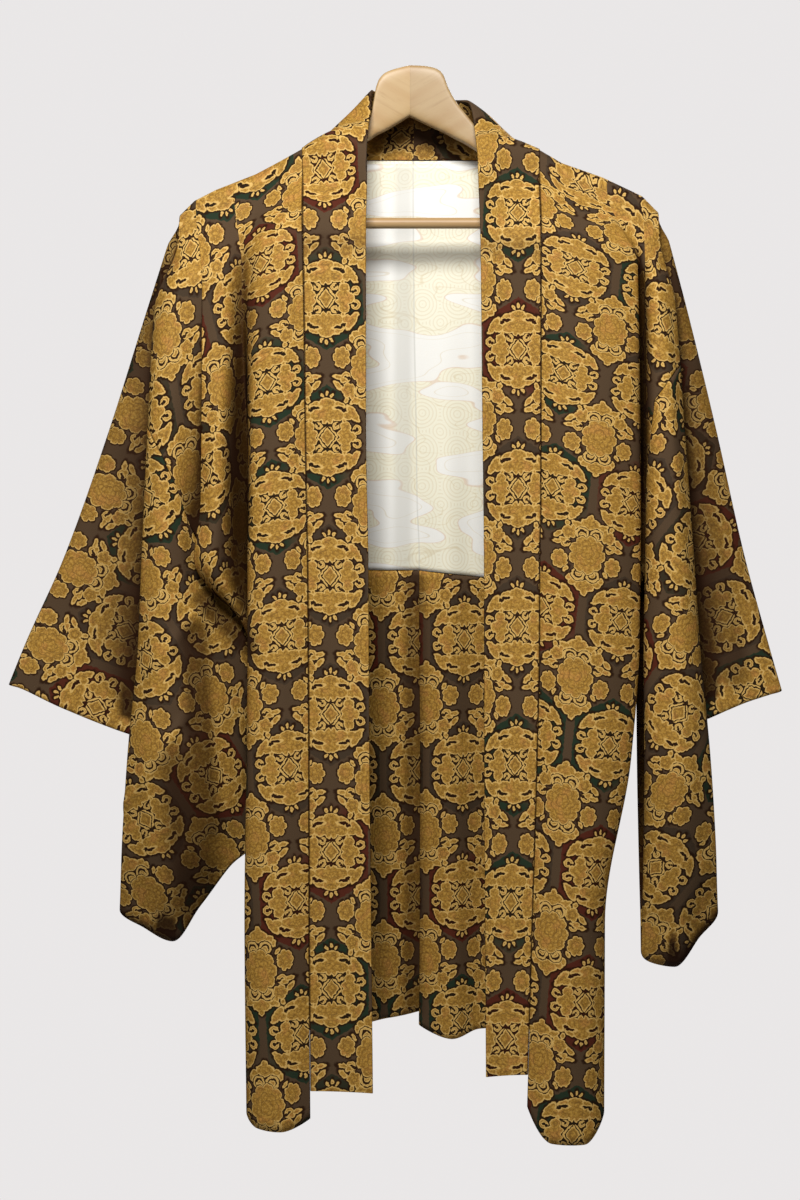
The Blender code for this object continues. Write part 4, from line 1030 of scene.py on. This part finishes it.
def silk(name, colours):
    """Crepe silk with two flowers that take turns on a half drop, in gold with a pale edge and a dark shadow line.

    Every whole lozenge flower stands on a six-sided ground, which is green, wine red or the cloth's brown by chance.
    """
    shade = Shade(name)
    flat = shade.cloth_at()
    at = shade.wandering(flat, 0.3, 2.2)
    size = (*REPEAT, 1.0)
    half = (REPEAT[0] / 2, REPEAT[1] / 2, 0.0)
    cell = shade.vector("SNAP", shade.vector("ADD", at, half), size)
    first = shade.less(at, cell)
    second = shade.less(shade.less(at, shade.vector("SNAP", at, size)), half)
    lozenge, facet = lozenge_flower(shade, shade.scaled(first, (1.0, 0.97, 0.0)))
    rounded, petals = round_flower(shade, shade.scaled(second, (1.02, 0.98, 0.0)))
    field = shade.highest(lozenge, rounded)
    own = shade.highest(shade.step(-0.4, 0.4, rounded) * shade.step(0.75, 0.25, petals), shade.step(0.6, 0.2, facet))
    ground = silk_ground(shade, flat, cell, first, colours)
    gold = silk_gold(shade, flat, at, field, own, colours)

    inside = shade.step(-0.25, 0.25, field)
    colour = shade.blend(shade.step(-2.2, -0.8, field) * 0.9, ground, colours["shadow"])
    colour = shade.blend(inside, colour, gold)
    colour = shade.blend(inside * shade.step(1.1, 0.65, field), colour, colours["gold_edge"])
    grain = shade.noise(flat, 1.3, 1.0)
    colour = shade.blend(shade.step(0.35, 0.75, grain) * 0.16, colour, colours["shadow"])
    # Painted shade: a dark line along each seam for the shade in its groove, and the cloth darkened in its folds and
    # in the hanger's painted shadow.
    from_seam, painted_shade = shade.seam_and_painted_shade()
    colour = shade.blend(shade.step(1.4, 0.5, from_seam) * 0.75, colour, colours["shadow"])
    colour = shade.blend(painted_shade * 0.93, colour, colours["shadow"])
    return shade.surface(colour, 0.78 - inside * 0.16, bump=grain, bump_distance=0.00025, bump_strength=0.35,
                         Specular_IOR_Level=0.08)


def wave_rings(shade, at):
    """Rings round the points of a half drop, where each circle of the first rows lies over its neighbours."""
    size = (RINGS_REPEAT, RINGS_REPEAT, 1.0)
    half = (RINGS_REPEAT / 2, RINGS_REPEAT / 2, 0.0)
    near = shade.length(shade.less(at, shade.vector("ADD", shade.vector("SNAP", at, size), half)))
    far = shade.length(shade.less(at, shade.vector("SNAP", shade.vector("ADD", at, half), size)))
    over = shade.step(16.1, 15.9, near)
    reach = near * over + far * (1 - over)
    return shade.step(0.80, 0.93, abs(shade.maths("COSINE", reach * (np.pi / 3.4))))


def pale_silk(name, colours):
    """Pale lining silk: bands of mist in cream, with rings like waves and thin rules drawn in faint gold and rust."""
    shade = Shade(name)
    flat = shade.cloth_at()
    rings = wave_rings(shade, shade.wandering(flat, 0.02, 6.0))
    mist = shade.noise(shade.scaled(flat, (0.3, 1.0, 1.0)), 0.034, 1.0)
    banks = shade.step(0.50, 0.52, mist)
    shore = shade.step(0.009, 0.003, abs(mist - 0.51))
    rules = shade.step(0.007, 0.002, abs(mist - 0.40)) + shade.step(0.007, 0.002, abs(mist - 0.60))
    weave = shade.noise(flat, 0.9, 1.0)
    from_seam, painted_shade = shade.seam_and_painted_shade()
    colour = shade.blend(banks * 0.75, colours["lining"], colours["lining_cream"])
    for share, ink in (
        (rings * banks * 0.3, "lining_line"),
        (rules * 0.35, "lining_line"),
        (shore * 0.35, "lining_rust"),
        (shade.step(0.4, 0.8, weave) * 0.06, "lining_line"),
        # Painted shade: a grey line along the middle seam for the shade in its fold, the painted shade beside it, and
        # the painted shadow under the hanger's bar.
        (shade.step(1.1, 0.4, from_seam) * 0.5, "lining_shade"),
        (painted_shade, "lining_shade"),
    ):
        colour = shade.blend(share, colour, colours[ink])
    return shade.surface(colour, 0.5, bump=weave, bump_distance=0.0002, bump_strength=0.15,
                         Sheen_Weight=0.08, Specular_IOR_Level=0.35)


def plain_wood(name, colours, slope):
    """Pale wood whose grain runs along a board that slopes by an angle in degrees."""
    shade = Shade(name)
    board = shade.node("ShaderNodeMapping", {"Vector": shade.object_at(), "Rotation": (0, np.radians(slope), 0)})
    grain = shade.noise(shade.scaled(board, (9.0, 120.0, 240.0)), 1.0, 3.0, flat=False)
    rings = shade.noise(shade.scaled(board, (3.0, 22.0, 60.0)), 1.0, 2.0, flat=False)
    pores = shade.noise(shade.scaled(board, (60.0, 900.0, 1200.0)), 1.0, 1.0, flat=False)
    colour = shade.blend(shade.step(0.35, 0.7, rings), colours["wood"], colours["wood_band"])
    colour = shade.blend(shade.step(0.5, 0.8, grain) * 0.4, colour, colours["wood_grain"])
    colour = shade.blend(shade.step(0.62, 0.8, pores) * 0.25, colour, colours["wood_grain"])
    return shade.surface(colour, 0.42, bump=grain, bump_distance=0.0002, bump_strength=0.12,
                         Specular_IOR_Level=0.4)


def patterned_silk():
    """The outer silk, made once."""
    return bpy.data.materials.get("Patterned_Silk") or silk("Patterned_Silk", colours_of(settings()))


def lining_silk():
    """The lining's silk, made once."""
    return bpy.data.materials.get("Pale_Lining_Silk") or pale_silk("Pale_Lining_Silk", colours_of(settings()))


def unrolled(points, column, across_sign):
    """Flat coordinates of a hanging cloth: x at one column plus the level distance along the row from it, and z."""
    reach = run(np.hypot(np.diff(points[..., 0], axis=1), np.diff(points[..., 1], axis=1)))
    reach = reach - reach[:, column : column + 1]
    return points[:, column : column + 1, 0] + across_sign * reach, points[..., 2].copy()


def lay_on(points, lay, column=0, across_sign=1.0, upside_down=False, warp=None, anchor_rows=None):
    """The cloth's own (weft, warp) coordinates on a grid of points, unrolled from one of its columns.

    The unrolled coordinates are turned by the lay's angle about its point, which is looked for among the anchor
    rows, and the weft is slanted by its slant. Where the lay follows the shoulder, its share of the height is the
    warp's own length, and this wears off as exp(-length / FOLLOW_FADE).
    """
    turn, anchor, follow, slant = LAYS[lay]
    turn = np.radians(turn)
    level, height = unrolled(points, column, across_sign)
    if warp is not None:
        height = height + follow * (warp - height) * np.exp(-np.abs(warp) / FOLLOW_FADE)
    weft = level * np.cos(turn) + height * np.sin(turn)
    along = height * np.cos(turn) - level * np.sin(turn)
    reach = np.hypot(points[..., 0] - anchor[0], points[..., 2] - anchor[1])
    if anchor_rows is not None:
        reach = np.where(anchor_rows, reach, np.inf)
    nearest = np.unravel_index(np.argmin(reach), reach.shape)
    weft = weft - weft[nearest]
    along = along - along[nearest] - np.tan(np.radians(slant)) * weft
    return np.stack([weft, -along if upside_down else along], axis=-1)


def corners_of(grid):
    """The values of a grid of points at the four corners of each of its cells."""
    return np.stack([grid[:-1, :-1], grid[:-1, 1:], grid[1:, 1:], grid[1:, :-1]], axis=2)


def by_columns(lays, bounds):
    """The cloth coordinates at the corners of each cell, from the lay that its column is in. The lays change at the
    bounds."""
    stack = np.stack([corners_of(lay) for lay in lays])
    columns = np.arange(stack.shape[2])
    which = np.searchsorted(bounds, columns, side="right")
    return np.moveaxis(stack[which, :, columns], 0, 1)


def pressed(points, normals):
    """How far each point moves along its normal: for each crease, height * exp(-(distance / half width)^2), fading
    over the last fifth of its length and on cloth that faces away from its side."""
    rise = np.zeros(len(points))
    for start, end, width, height, face in CREASES:
        start = np.array(start, float)
        line = np.array(end, float) - start
        length = np.hypot(*line)
        offset = points[:, [0, 2]] - start
        along = offset @ line / length**2
        aside = np.abs(offset @ np.array([-line[1], line[0]]) / length)
        fade = eased(along / 0.2) * eased((1 - along) / 0.2) * eased(normals[:, 1] * face / 0.5)
        rise += height * np.exp(-((aside / width) ** 2)) * fade
    return rise


def on_cloth(keep):
    """The points of a grid that are a first or last corner of a kept cell."""
    used = np.zeros((keep.shape[0] + 1, keep.shape[1] + 1), bool)
    used[:-1, :-1] = keep
    used[1:, 1:] |= keep
    return used


def from_edge(points, keep):
    """The distance along each row from its first kept cell, on the grid's points."""
    first = np.append(keep.argmax(axis=1), keep[-1].argmax())
    reach = run(np.linalg.norm(np.diff(points, axis=1), axis=2))
    return np.abs(reach - reach[np.arange(len(points)), first][:, None])


def painted_fold_shade(points, used, facing):
    """How far each point lies in its folds, from 0 to 1, which is painted as shade: the share of the half turn in
    front of it that the folds on its left and right hide. facing is -1 for cloth that faces the front and 1 for the
    back."""
    far_behind = -1e4
    x = points[..., 0]
    y = np.where(used, points[..., 1] * facing, far_behind)
    aside = x[:, None, :] - x[:, :, None]
    slope = (y[:, None, :] - y[:, :, None]) / (np.abs(aside) + SHELTER_SOFT)
    left = np.where(aside < 0, slope, 0.0).max(axis=2)
    right = np.where(aside > 0, slope, 0.0).max(axis=2)
    hidden = np.where(used, (np.arctan(left) + np.arctan(right)) / np.pi, 0.0)
    return eased((hidden - SHELTER[0]) / SHELTER[1])


def shaded(points, facing, shade=0.0):
    """Painted shade of the points: a stroke of the table of painted shades counts as share * eased(1.4 - distance /
    half width) on cloth that faces its side, and the darkest wins."""
    for start, end, width, share, face in SHADES:
        start = np.array(start, float)
        line = np.array(end, float) - start
        offset = points[..., [0, 2]] - start
        along = np.clip(offset @ line / (line @ line), 0.0, 1.0)
        away = np.linalg.norm(offset - along[..., None] * line, axis=-1)
        stroke = share * eased(1.4 - away / width) * (np.asarray(facing) == face)
        shade = np.maximum(shade, stroke)
    return shade


def grid_mesh(name, points, keep, cells_uv, flip, seam, shade):
    """A mesh of the kept cells of a grid of points in millimetres, with the cells' cloth coordinates as its UV, and
    the distance from a seam and the painted shade of each point as a second one."""
    rows, columns = points.shape[:2]
    cells = corners_of(np.arange(rows * columns).reshape(rows, columns))[keep]
    uv = cells_uv[keep]
    if flip:
        cells = cells[:, ::-1]
        uv = uv[:, ::-1]
    seam, shade = (np.broadcast_to(value, (rows, columns)).ravel()[cells] for value in (seam, shade))
    seam_and_shade_uv = np.stack([seam, shade], axis=-1)
    used, cells = np.unique(cells, return_inverse=True)
    cells = cells.reshape(-1, 4)
    mesh = bpy.data.meshes.new(name)
    mesh.vertices.add(len(used))
    mesh.vertices.foreach_set("co", (points.reshape(-1, 3)[used] * MM).ravel())
    mesh.loops.add(cells.size)
    mesh.loops.foreach_set("vertex_index", cells.ravel())
    mesh.polygons.add(len(cells))
    mesh.polygons.foreach_set("loop_start", np.arange(0, cells.size, 4))
    mesh.update(calc_edges=True)
    mesh.uv_layers.new(name="Cloth").data.foreach_set("uv", uv.ravel())
    mesh.uv_layers.new(name="Seam").data.foreach_set("uv", seam_and_shade_uv.ravel())
    mesh.shade_smooth()
    return mesh


def crease(mesh):
    """Press the creases into a mesh, along its normals."""
    co = np.empty(len(mesh.vertices) * 3, np.float32)
    normals = np.empty_like(co)
    mesh.vertices.foreach_get("co", co)
    mesh.vertex_normals.foreach_get("vector", normals)
    co = co.reshape(-1, 3).astype(float)
    normals = normals.reshape(-1, 3).astype(float)
    co += normals * pressed(co / MM, normals)[:, None] * MM
    mesh.vertices.foreach_set("co", co.astype(np.float32).ravel())
    mesh.update()


def line_inside(mesh, lowest):
    """Say which faces are lined: those above the lowest z take slot 0, and the others keep the outer cloth inside."""
    centres = np.empty(len(mesh.polygons) * 3, np.float32)
    mesh.polygons.foreach_get("center", centres)
    unlined = centres.reshape(-1, 3)[:, 2] < lowest * MM
    mesh.polygons.foreach_set("material_index", unlined.astype(np.int32))


def fixed(name, mesh, materials, nodes):
    """An object of a mesh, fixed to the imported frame: it rides on the root body and stands for the nodes named."""
    for material in materials:
        mesh.materials.append(material)
    obj = bpy.data.objects.new(name, mesh)
    bpy.context.scene.collection.objects.link(obj)
    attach(obj, "root")
    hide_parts(*nodes)
    return obj


def cloth(name, points, cells_uv, keep=None, flip=False, creased=True, seam=FAR, shade=0.0,
          lined_to=None, slot="patterned_crepe", nodes=None, wall=None):
    """One piece of cloth: a fine grid with creases pressed into it and a thin wall.

    It is cut from the patterned silk, or from the lining silk if its slot is the lining's. A lined piece has four
    slots: the wall's inner side takes the slot two on from its face's own, so it is pale above lined_to.
    """
    if keep is None:
        keep = np.ones((points.shape[0] - 1, points.shape[1] - 1), bool)
    mesh = grid_mesh(name, points, keep, cells_uv, flip, seam, shade)
    if creased:
        crease(mesh)
    outer = lining_silk() if slot == "pale_lining" else patterned_silk()
    materials = [outer] if lined_to is None else [outer, outer, lining_silk(), outer]
    obj = fixed(name, mesh, materials, nodes or [name.lower()])
    thick = obj.modifiers.new("Wall", "SOLIDIFY")
    thick.thickness = wall or settings().wall
    thick.offset = 0.0
    if lined_to is not None:
        line_inside(mesh, lined_to)
        thick.material_offset = 2
    return obj


def column_at(places, place):
    """The column of a grid that lies at a place."""
    return int(np.searchsorted(places, place))


def body_piece(side):
    """A body length: front panel, ridge and column each lie at their own angle, and change over in hidden folds.

    The back goes on from the front over the shoulder. On the rows behind the hanger's arm the warp's path is counted
    back from the arm's far side, so that it falls again down the back.
    """
    points, keep, warp, rows_before = body_points(side)
    warp = np.minimum(warp, SHOULDER_ROUND * np.pi - warp)
    sign = SIGN[side]
    down = side == "left"
    neck = len(NECK_PLACES)
    column = neck + len(BODY_PLACES) + len(BETWEEN)
    front = np.zeros(points.shape[:2], bool)
    front[: rows_before - ARCH_ROWS + 1, neck:] = True
    panel_from = neck + column_at(BODY_PLACES, 1.0)
    ridge_from = neck + column_at(BODY_PLACES, 5.0)
    column_from = column + column_at(COLUMN_PLACES, 3.0)
    lays = (
        lay_on(points, f"front_{side}", panel_from, sign, down, warp, front),
        lay_on(points, f"ridge_{side}", ridge_from, sign, down, None, front),
        lay_on(points, f"column_{side}", column_from, sign, down, None, front),
    )
    recess = neck + column_at(BODY_PLACES, 4.0)
    cells_uv = by_columns(lays, (recess, column - len(BETWEEN) // 2))
    # Painted shade: each point darkens by how far its folds hide it and by the table's strokes, and a dark line of
    # painted shade runs along its first edge, the band's seam at the front and the middle seam at the back.
    facing = np.where(np.arange(len(points)) < rows_before, -1, 1)[:, None]
    shade = shaded(points, facing, painted_fold_shade(points, on_cloth(keep), facing))
    return cloth(f"Body_{side.title()}", points, cells_uv, keep,
                 flip=side == "right", seam=from_edge(points, keep), shade=shade, lined_to=-LINED_TO)


def sleeve_piece(side):
    """A sleeve: the forward column, the flat outer part round the top fold, and the same again behind. It is lined
    all the way down."""
    points, keep = sleeve_points(side)
    sign = SIGN[side]
    down = side == "left"
    last = points.shape[1] - 1
    fold = last // 2
    column, change = LAY_COLUMNS
    front = np.zeros(points.shape[:2], bool)
    front[:, :fold] = True
    lays = (
        lay_on(points, f"sleeve_{side}", column, sign, down, None, front),
        lay_on(points, f"outer_{side}", fold, sign, down, None, front),
        lay_on(points, f"outer_{side}", fold, -sign, down, None, ~front),
        lay_on(points, f"sleeve_{side}", last - column, -sign, down),
    )
    cells_uv = by_columns(lays, (change, fold, last - change))
    used = on_cloth(keep)
    # Painted shade: each point darkens by how far its folds hide it and by the table's strokes.
    shade = np.zeros(points.shape[:2])
    for half, facing in ((slice(0, fold + 1), -1), (slice(fold, last + 1), 1)):
        hidden = painted_fold_shade(points[:, half], used[:, half], facing)
        shade[:, half] = shaded(points[:, half], facing, hidden)
    return cloth(f"Sleeve_{side.title()}", points, cells_uv, keep,
                 flip=side == "left", shade=shade, lined_to=-np.inf)


def gusset_piece(side):
    """The tapered cloth between the front and the back under the arm."""
    points = gusset_points(side)
    cells_uv = corners_of(lay_on(points, "facing", 0, SIGN[side]))
    return cloth(f"Gusset_{side.title()}", points, cells_uv,
                 flip=side == "right", creased=False)


def band_uv(points, side):
    """Across the band from its seam, and along it; a whole lozenge flower lies at the lay's point, which is looked
    for in the first two thirds of the rows."""
    from_seam = np.linalg.norm(points - points[:, :1], axis=2)
    middle = points[:, points.shape[1] // 2]
    onward = np.gradient(middle, axis=0)
    onward /= np.linalg.norm(onward, axis=1, keepdims=True)
    ahead = ((points - middle[:, None]) * onward[:, None]).sum(axis=-1)
    along = run(np.linalg.norm(np.diff(middle, axis=0), axis=1))
    x, z = LAYS[f"band_{side}"][1]
    station = np.argmin(np.abs(middle[: len(middle) * 2 // 3, 2] - z))
    inset = abs(points[station, 0, 0] - x)
    return -SIGN[side] * np.stack([from_seam - inset, (along - along[station])[:, None] + ahead], axis=-1)


def band_piece():
    """The collar band, from the right front hem round the neck to the left front hem, with rounded edges."""
    right, left = (band_half(side) for side in SIDES)
    middle = (right[-1:] + left[-1:]) / 2
    right[-1:] = middle
    left[-1:] = middle
    points = np.concatenate([right[:-1], left[::-1]])
    cells_uv = np.concatenate([corners_of(band_uv(right, "right")), corners_of(band_uv(left, "left")[::-1])])
    # Painted shade: a dark line along the band's seam, and behind the neck the painted shadow of the hanger's wood.
    facing = np.where(points[..., 1] > BEHIND_NECK, -1, 0)
    band = cloth("Collar_Band", points, cells_uv, flip=True,
                 seam=np.linalg.norm(points - points[:, :1], axis=2), shade=shaded(points, facing),
                 wall=settings().band_wall)
    soft = band.modifiers.new("Soft_Edge", "BEVEL")
    soft.width = BAND_ROUND
    soft.segments = 2
    soft.limit_method = "ANGLE"
    soft.angle_limit = np.radians(60)
    return band


def lining_piece():
    """The pale lining of the back, in one piece across the middle seam."""
    right, left = (liner_points(side, None, lining_edge(side)) for side in SIDES)
    middle = (right[:, :1] + left[:, :1]) / 2
    points = np.concatenate([right[:, :0:-1], middle, left[:, 1:]], axis=1)
    cells_uv = corners_of(lay_on(points, "facing", right.shape[1] - 1))
    # Painted shade: a grey line along the middle seam, a darker strip beside it and a painted shadow under the
    # hanger's bar.
    return cloth("Back_Lining", points, cells_uv,
                 seam=np.abs(points[..., 0] - middle[..., 0]), shade=shaded(points, 0), slot="pale_lining",
                 nodes=["lining_right", "lining_left"])


def facing_piece(side):
    """The outer cloth turned up inside the back, below the lining."""
    points = liner_points(side, lining_edge(side) + FACING_GAP, None)
    cells_uv = corners_of(lay_on(points, "facing", 0, SIGN[side]))
    # Painted shade down the valley at the middle of the back.
    return cloth(f"Facing_{side.title()}", points, cells_uv,
                 flip=side == "left", shade=shaded(points, -1))


def rounded_bar(name, points, material):
    """A closed solid of wood through rings of points, with flat ends."""
    rings, around = points.shape[:2]
    index = np.arange(rings * around).reshape(rings, around)
    following = np.roll(index, -1, axis=1)
    cells = np.stack([index[:-1], following[:-1], following[1:], index[1:]], axis=-1).reshape(-1, 4)
    faces = cells.tolist() + [index[0, ::-1].tolist(), index[-1].tolist()]
    mesh = bpy.data.meshes.new(name)
    mesh.from_pydata((points.reshape(-1, 3) * MM).tolist(), [], faces)
    mesh.shade_smooth()
    mesh.set_sharp_from_angle(angle=np.radians(50))
    return fixed(name, mesh, [material], [name.lower()])


def arm_piece(side, material):
    """A wooden arm: sections of |cos|^ARM_SQUARE and |sin|^ARM_SQUARE between its top and underside lines, drawn in
    by sqrt(1 - f^2) over the last ARM_END of its length."""
    table = np.array(ARM_LINES[side], float)
    end = table[-1, 0]
    even = np.linspace(MITRE_GAP, end - ARM_END, 90)
    closer = end - ARM_END * np.cos(np.linspace(0, np.pi / 2, 8))
    out = np.unique(np.concatenate([even, table[1:, 0], closer]))
    top = steady(table[:, 0], table[:, 1], out)
    under = steady(table[:, 0], table[:, 2], out)
    tip = np.sqrt(np.clip(1 - np.clip((out - end + ARM_END) / ARM_END, 0, 1) ** 2, 0.15, 1))
    half_depth = np.interp(out, (0.0, HALF_SPAN), HALF_DEPTH) * tip
    half_height = (under - top) / 2 * tip
    angles = np.linspace(0.0, 2 * np.pi, ARM_AROUND, endpoint=False)
    wide = np.sign(np.cos(angles)) * np.abs(np.cos(angles)) ** ARM_SQUARE
    tall = np.sign(np.sin(angles)) * np.abs(np.sin(angles)) ** ARM_SQUARE
    y = arm_depth(out)[:, None] + half_depth[:, None] * wide
    drop = ((top + under) / 2)[:, None] - half_height[:, None] * tall
    points = placed(side, np.broadcast_to(out[:, None], y.shape), y, drop, 0.0)
    if side == "right":
        points = points[:, ::-1]
    return rounded_bar(f"Hanger_Arm_{side.title()}", points, material)


def bar_piece(material):
    """The round bar between the arms."""
    x = np.linspace(-BAR_REACH["right"], BAR_REACH["left"], 30)[:, None]
    angles = np.linspace(0.0, 2 * np.pi, ARM_AROUND, endpoint=False)
    y = BAR_DEPTH - MIDDLE_BACK + BAR_RADIUS * np.cos(angles)
    z = -BAR_DROP + BAR_RADIUS * np.sin(angles)
    points = np.stack(np.broadcast_arrays(x, y, z), axis=-1)
    return rounded_bar("Hanger_Bar", points, material)


def floor_material():
    """A pale floor that fades out towards its rim."""
    shade = Shade("Pale_Floor")
    spot = shade.object_at()
    away = shade.length(shade.scaled(spot, (1.0, 1.0, 0.0)))
    speck = shade.noise(spot, 40.0, 2.0, flat=False)
    pale = shade.blend(shade.step(0.3, 0.8, speck) * 0.04, (0.80, 0.79, 0.78), (0.66, 0.65, 0.64))
    return shade.surface(pale, 0.8, Alpha=shade.step(*FLOOR_FADE, away))


def floor_piece(stage):
    """A round floor under the jacket: rings of quads round a hub of triangles."""
    turn = np.linspace(0.0, 2 * np.pi, FLOOR_GRID[1], endpoint=False)
    reach = np.linspace(0.0, FLOOR_REACH, FLOOR_GRID[0])[1:, None]
    rim = np.stack(np.broadcast_arrays(reach * np.cos(turn), reach * np.sin(turn), -stage.floor_drop), axis=-1)
    points = np.concatenate([[[0.0, 0.0, -stage.floor_drop]], rim.reshape(-1, 3)])
    index = np.arange(1, len(points)).reshape(rim.shape[:2])
    following = np.roll(index, -1, axis=1)
    cells = np.stack([index[:-1], index[1:], following[1:], following[:-1]], axis=-1).reshape(-1, 4).tolist()
    hub = np.stack([0 * index[0], index[0], following[0]], axis=-1).tolist()
    mesh = bpy.data.meshes.new("Floor")
    mesh.from_pydata(points.tolist(), [], hub + cells)
    mesh.materials.append(floor_material())
    floor = bpy.data.objects.new("Floor", mesh)
    bpy.context.scene.collection.objects.link(floor)


def camera(stage):
    """The camera stands in front of the jacket, a little below the shoulders, and looks slightly down."""
    data = bpy.data.cameras.new("Camera")
    data.sensor_width = 36.0
    data.lens = 66.66
    made = bpy.data.objects.new("Camera", data)
    made.location = (CAMERA_PLACE[0], -stage.camera_back, CAMERA_PLACE[1])
    made.rotation_euler = (np.pi / 2 - stage.camera_tilt, 0.0, 0.0)
    bpy.context.scene.collection.objects.link(made)
    return made


def room_light(stage):
    """Pale light all round: dim where it falls on the jacket, and bright where the camera sees it."""
    scene = bpy.context.scene
    world = scene.world or bpy.data.worlds.new("World")
    scene.world = world
    world.use_nodes = True
    tree = world.node_tree
    sky = tree.nodes["Background"]
    sky.inputs["Color"].default_value = (*stage.backdrop, 1.0)
    sky.inputs["Strength"].default_value = stage.room_light
    seen = tree.nodes.new("ShaderNodeBackground")
    seen.inputs["Color"].default_value = (*stage.backdrop, 1.0)
    both = tree.nodes.new("ShaderNodeMixShader")
    tree.links.new(tree.nodes.new("ShaderNodeLightPath").outputs["Is Camera Ray"], both.inputs[0])
    tree.links.new(sky.outputs[0], both.inputs[1])
    tree.links.new(seen.outputs[0], both.inputs[2])
    tree.links.new(both.outputs[0], tree.nodes["World Output"].inputs["Surface"])


def lights(stage):
    """Soft studio light: a key in front and above, a weaker light in front, and a broad one behind, which all look at
    the middle of the jacket."""
    for name, power, size, place in (
        ("Key", stage.key_power, 0.5, (-0.10, -1.30, 0.72)),
        ("Front", stage.front_power, 0.5, (-0.5, -2.3, 0.0)),
        ("Back", stage.back_power, 1.6, (0.6, 2.4, 0.6)),
    ):
        data = bpy.data.lights.new(name, "AREA")
        data.energy = power
        data.size = size
        lamp = bpy.data.objects.new(name, data)
        lamp.location = place
        aim = np.array([0.0, 0.0, -0.5]) - place
        level = np.hypot(aim[0], aim[1])
        lamp.rotation_euler = (np.arctan2(level, -aim[2]), 0.0, np.arctan2(aim[1], aim[0]) - np.pi / 2)
        bpy.context.scene.collection.objects.link(lamp)


class BuildBodies(bpy.types.Operator):
    """Build the two body lengths and their side gussets"""

    bl_idname = "haori.bodies"
    bl_label = "Bodies and Gussets"

    def execute(self, context):
        for side in SIDES:
            body_piece(side)
            gusset_piece(side)
        return {"FINISHED"}


class BuildSleeves(bpy.types.Operator):
    """Build the two sleeves"""

    bl_idname = "haori.sleeves"
    bl_label = "Sleeves"

    def execute(self, context):
        for side in SIDES:
            sleeve_piece(side)
        return {"FINISHED"}


class BuildBand(bpy.types.Operator):
    """Build the collar band"""

    bl_idname = "haori.band"
    bl_label = "Collar Band"

    def execute(self, context):
        band_piece()
        return {"FINISHED"}


class BuildLining(bpy.types.Operator):
    """Build the pale lining and the turned-up cloth inside the back"""

    bl_idname = "haori.lining"
    bl_label = "Lining and Facings"

    def execute(self, context):
        lining_piece()
        for side in SIDES:
            facing_piece(side)
        return {"FINISHED"}


class BuildHanger(bpy.types.Operator):
    """Build the wooden hanger"""

    bl_idname = "haori.hanger"
    bl_label = "Hanger"

    def execute(self, context):
        colours = colours_of(context.scene.haori_hanger)
        for side, (slope, share) in ARM_GRAIN_AND_SHADE.items():
            # A share below 1 gives a copy of the wood darkened as painted shade.
            board = {name: tuple(share * part for part in value) for name, value in colours.items()}
            arm_piece(side, plain_wood(f"Pale_Wood_{side.title()}", board, slope))
        bar_piece(plain_wood("Pale_Wood_Bar", colours, 0.0))
        return {"FINISHED"}


class BuildStage(bpy.types.Operator):
    """Make the camera, the floor and the lights"""

    bl_idname = "haori.stage"
    bl_label = "Stage"

    def execute(self, context):
        stage = context.scene.haori_stage
        floor_piece(stage)
        context.scene.camera = camera(stage)
        context.scene.view_settings.view_transform = "Standard"
        room_light(stage)
        lights(stage)
        return {"FINISHED"}


OPERATORS = (BuildBodies, BuildSleeves, BuildBand, BuildLining, BuildHanger, BuildStage)
GROUPS = {"haori_cloth": HaoriCloth, "haori_hanger": HaoriHanger, "haori_stage": HaoriStage}


class HaoriPanel(bpy.types.Panel):
    """Buttons and settings of the haori"""

    bl_idname = "VIEW3D_PT_haori"
    bl_label = "Haori"
    bl_space_type = "VIEW_3D"
    bl_region_type = "UI"
    bl_category = "Haori"

    def draw(self, context):
        for operator in OPERATORS:
            self.layout.operator(operator.bl_idname)
        for name in GROUPS:
            group = getattr(context.scene, name)
            box = self.layout.box()
            for key in group.__annotations__:
                box.prop(group, key)


def register():
    for item in (*GROUPS.values(), *OPERATORS, HaoriPanel):
        bpy.utils.register_class(item)
    for name, group in GROUPS.items():
        setattr(bpy.types.Scene, name, PointerProperty(type=group))


def unregister():
    for name in GROUPS:
        delattr(bpy.types.Scene, name)
    for item in (HaoriPanel, *reversed(OPERATORS), *reversed(tuple(GROUPS.values()))):
        bpy.utils.unregister_class(item)


def main():
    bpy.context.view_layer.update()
    register()
    bpy.ops.haori.bodies()
    bpy.ops.haori.sleeves()
    bpy.ops.haori.band()
    bpy.ops.haori.lining()
    bpy.ops.haori.hanger()
    bpy.ops.haori.stage()


if __name__ == "__main__":
    main()
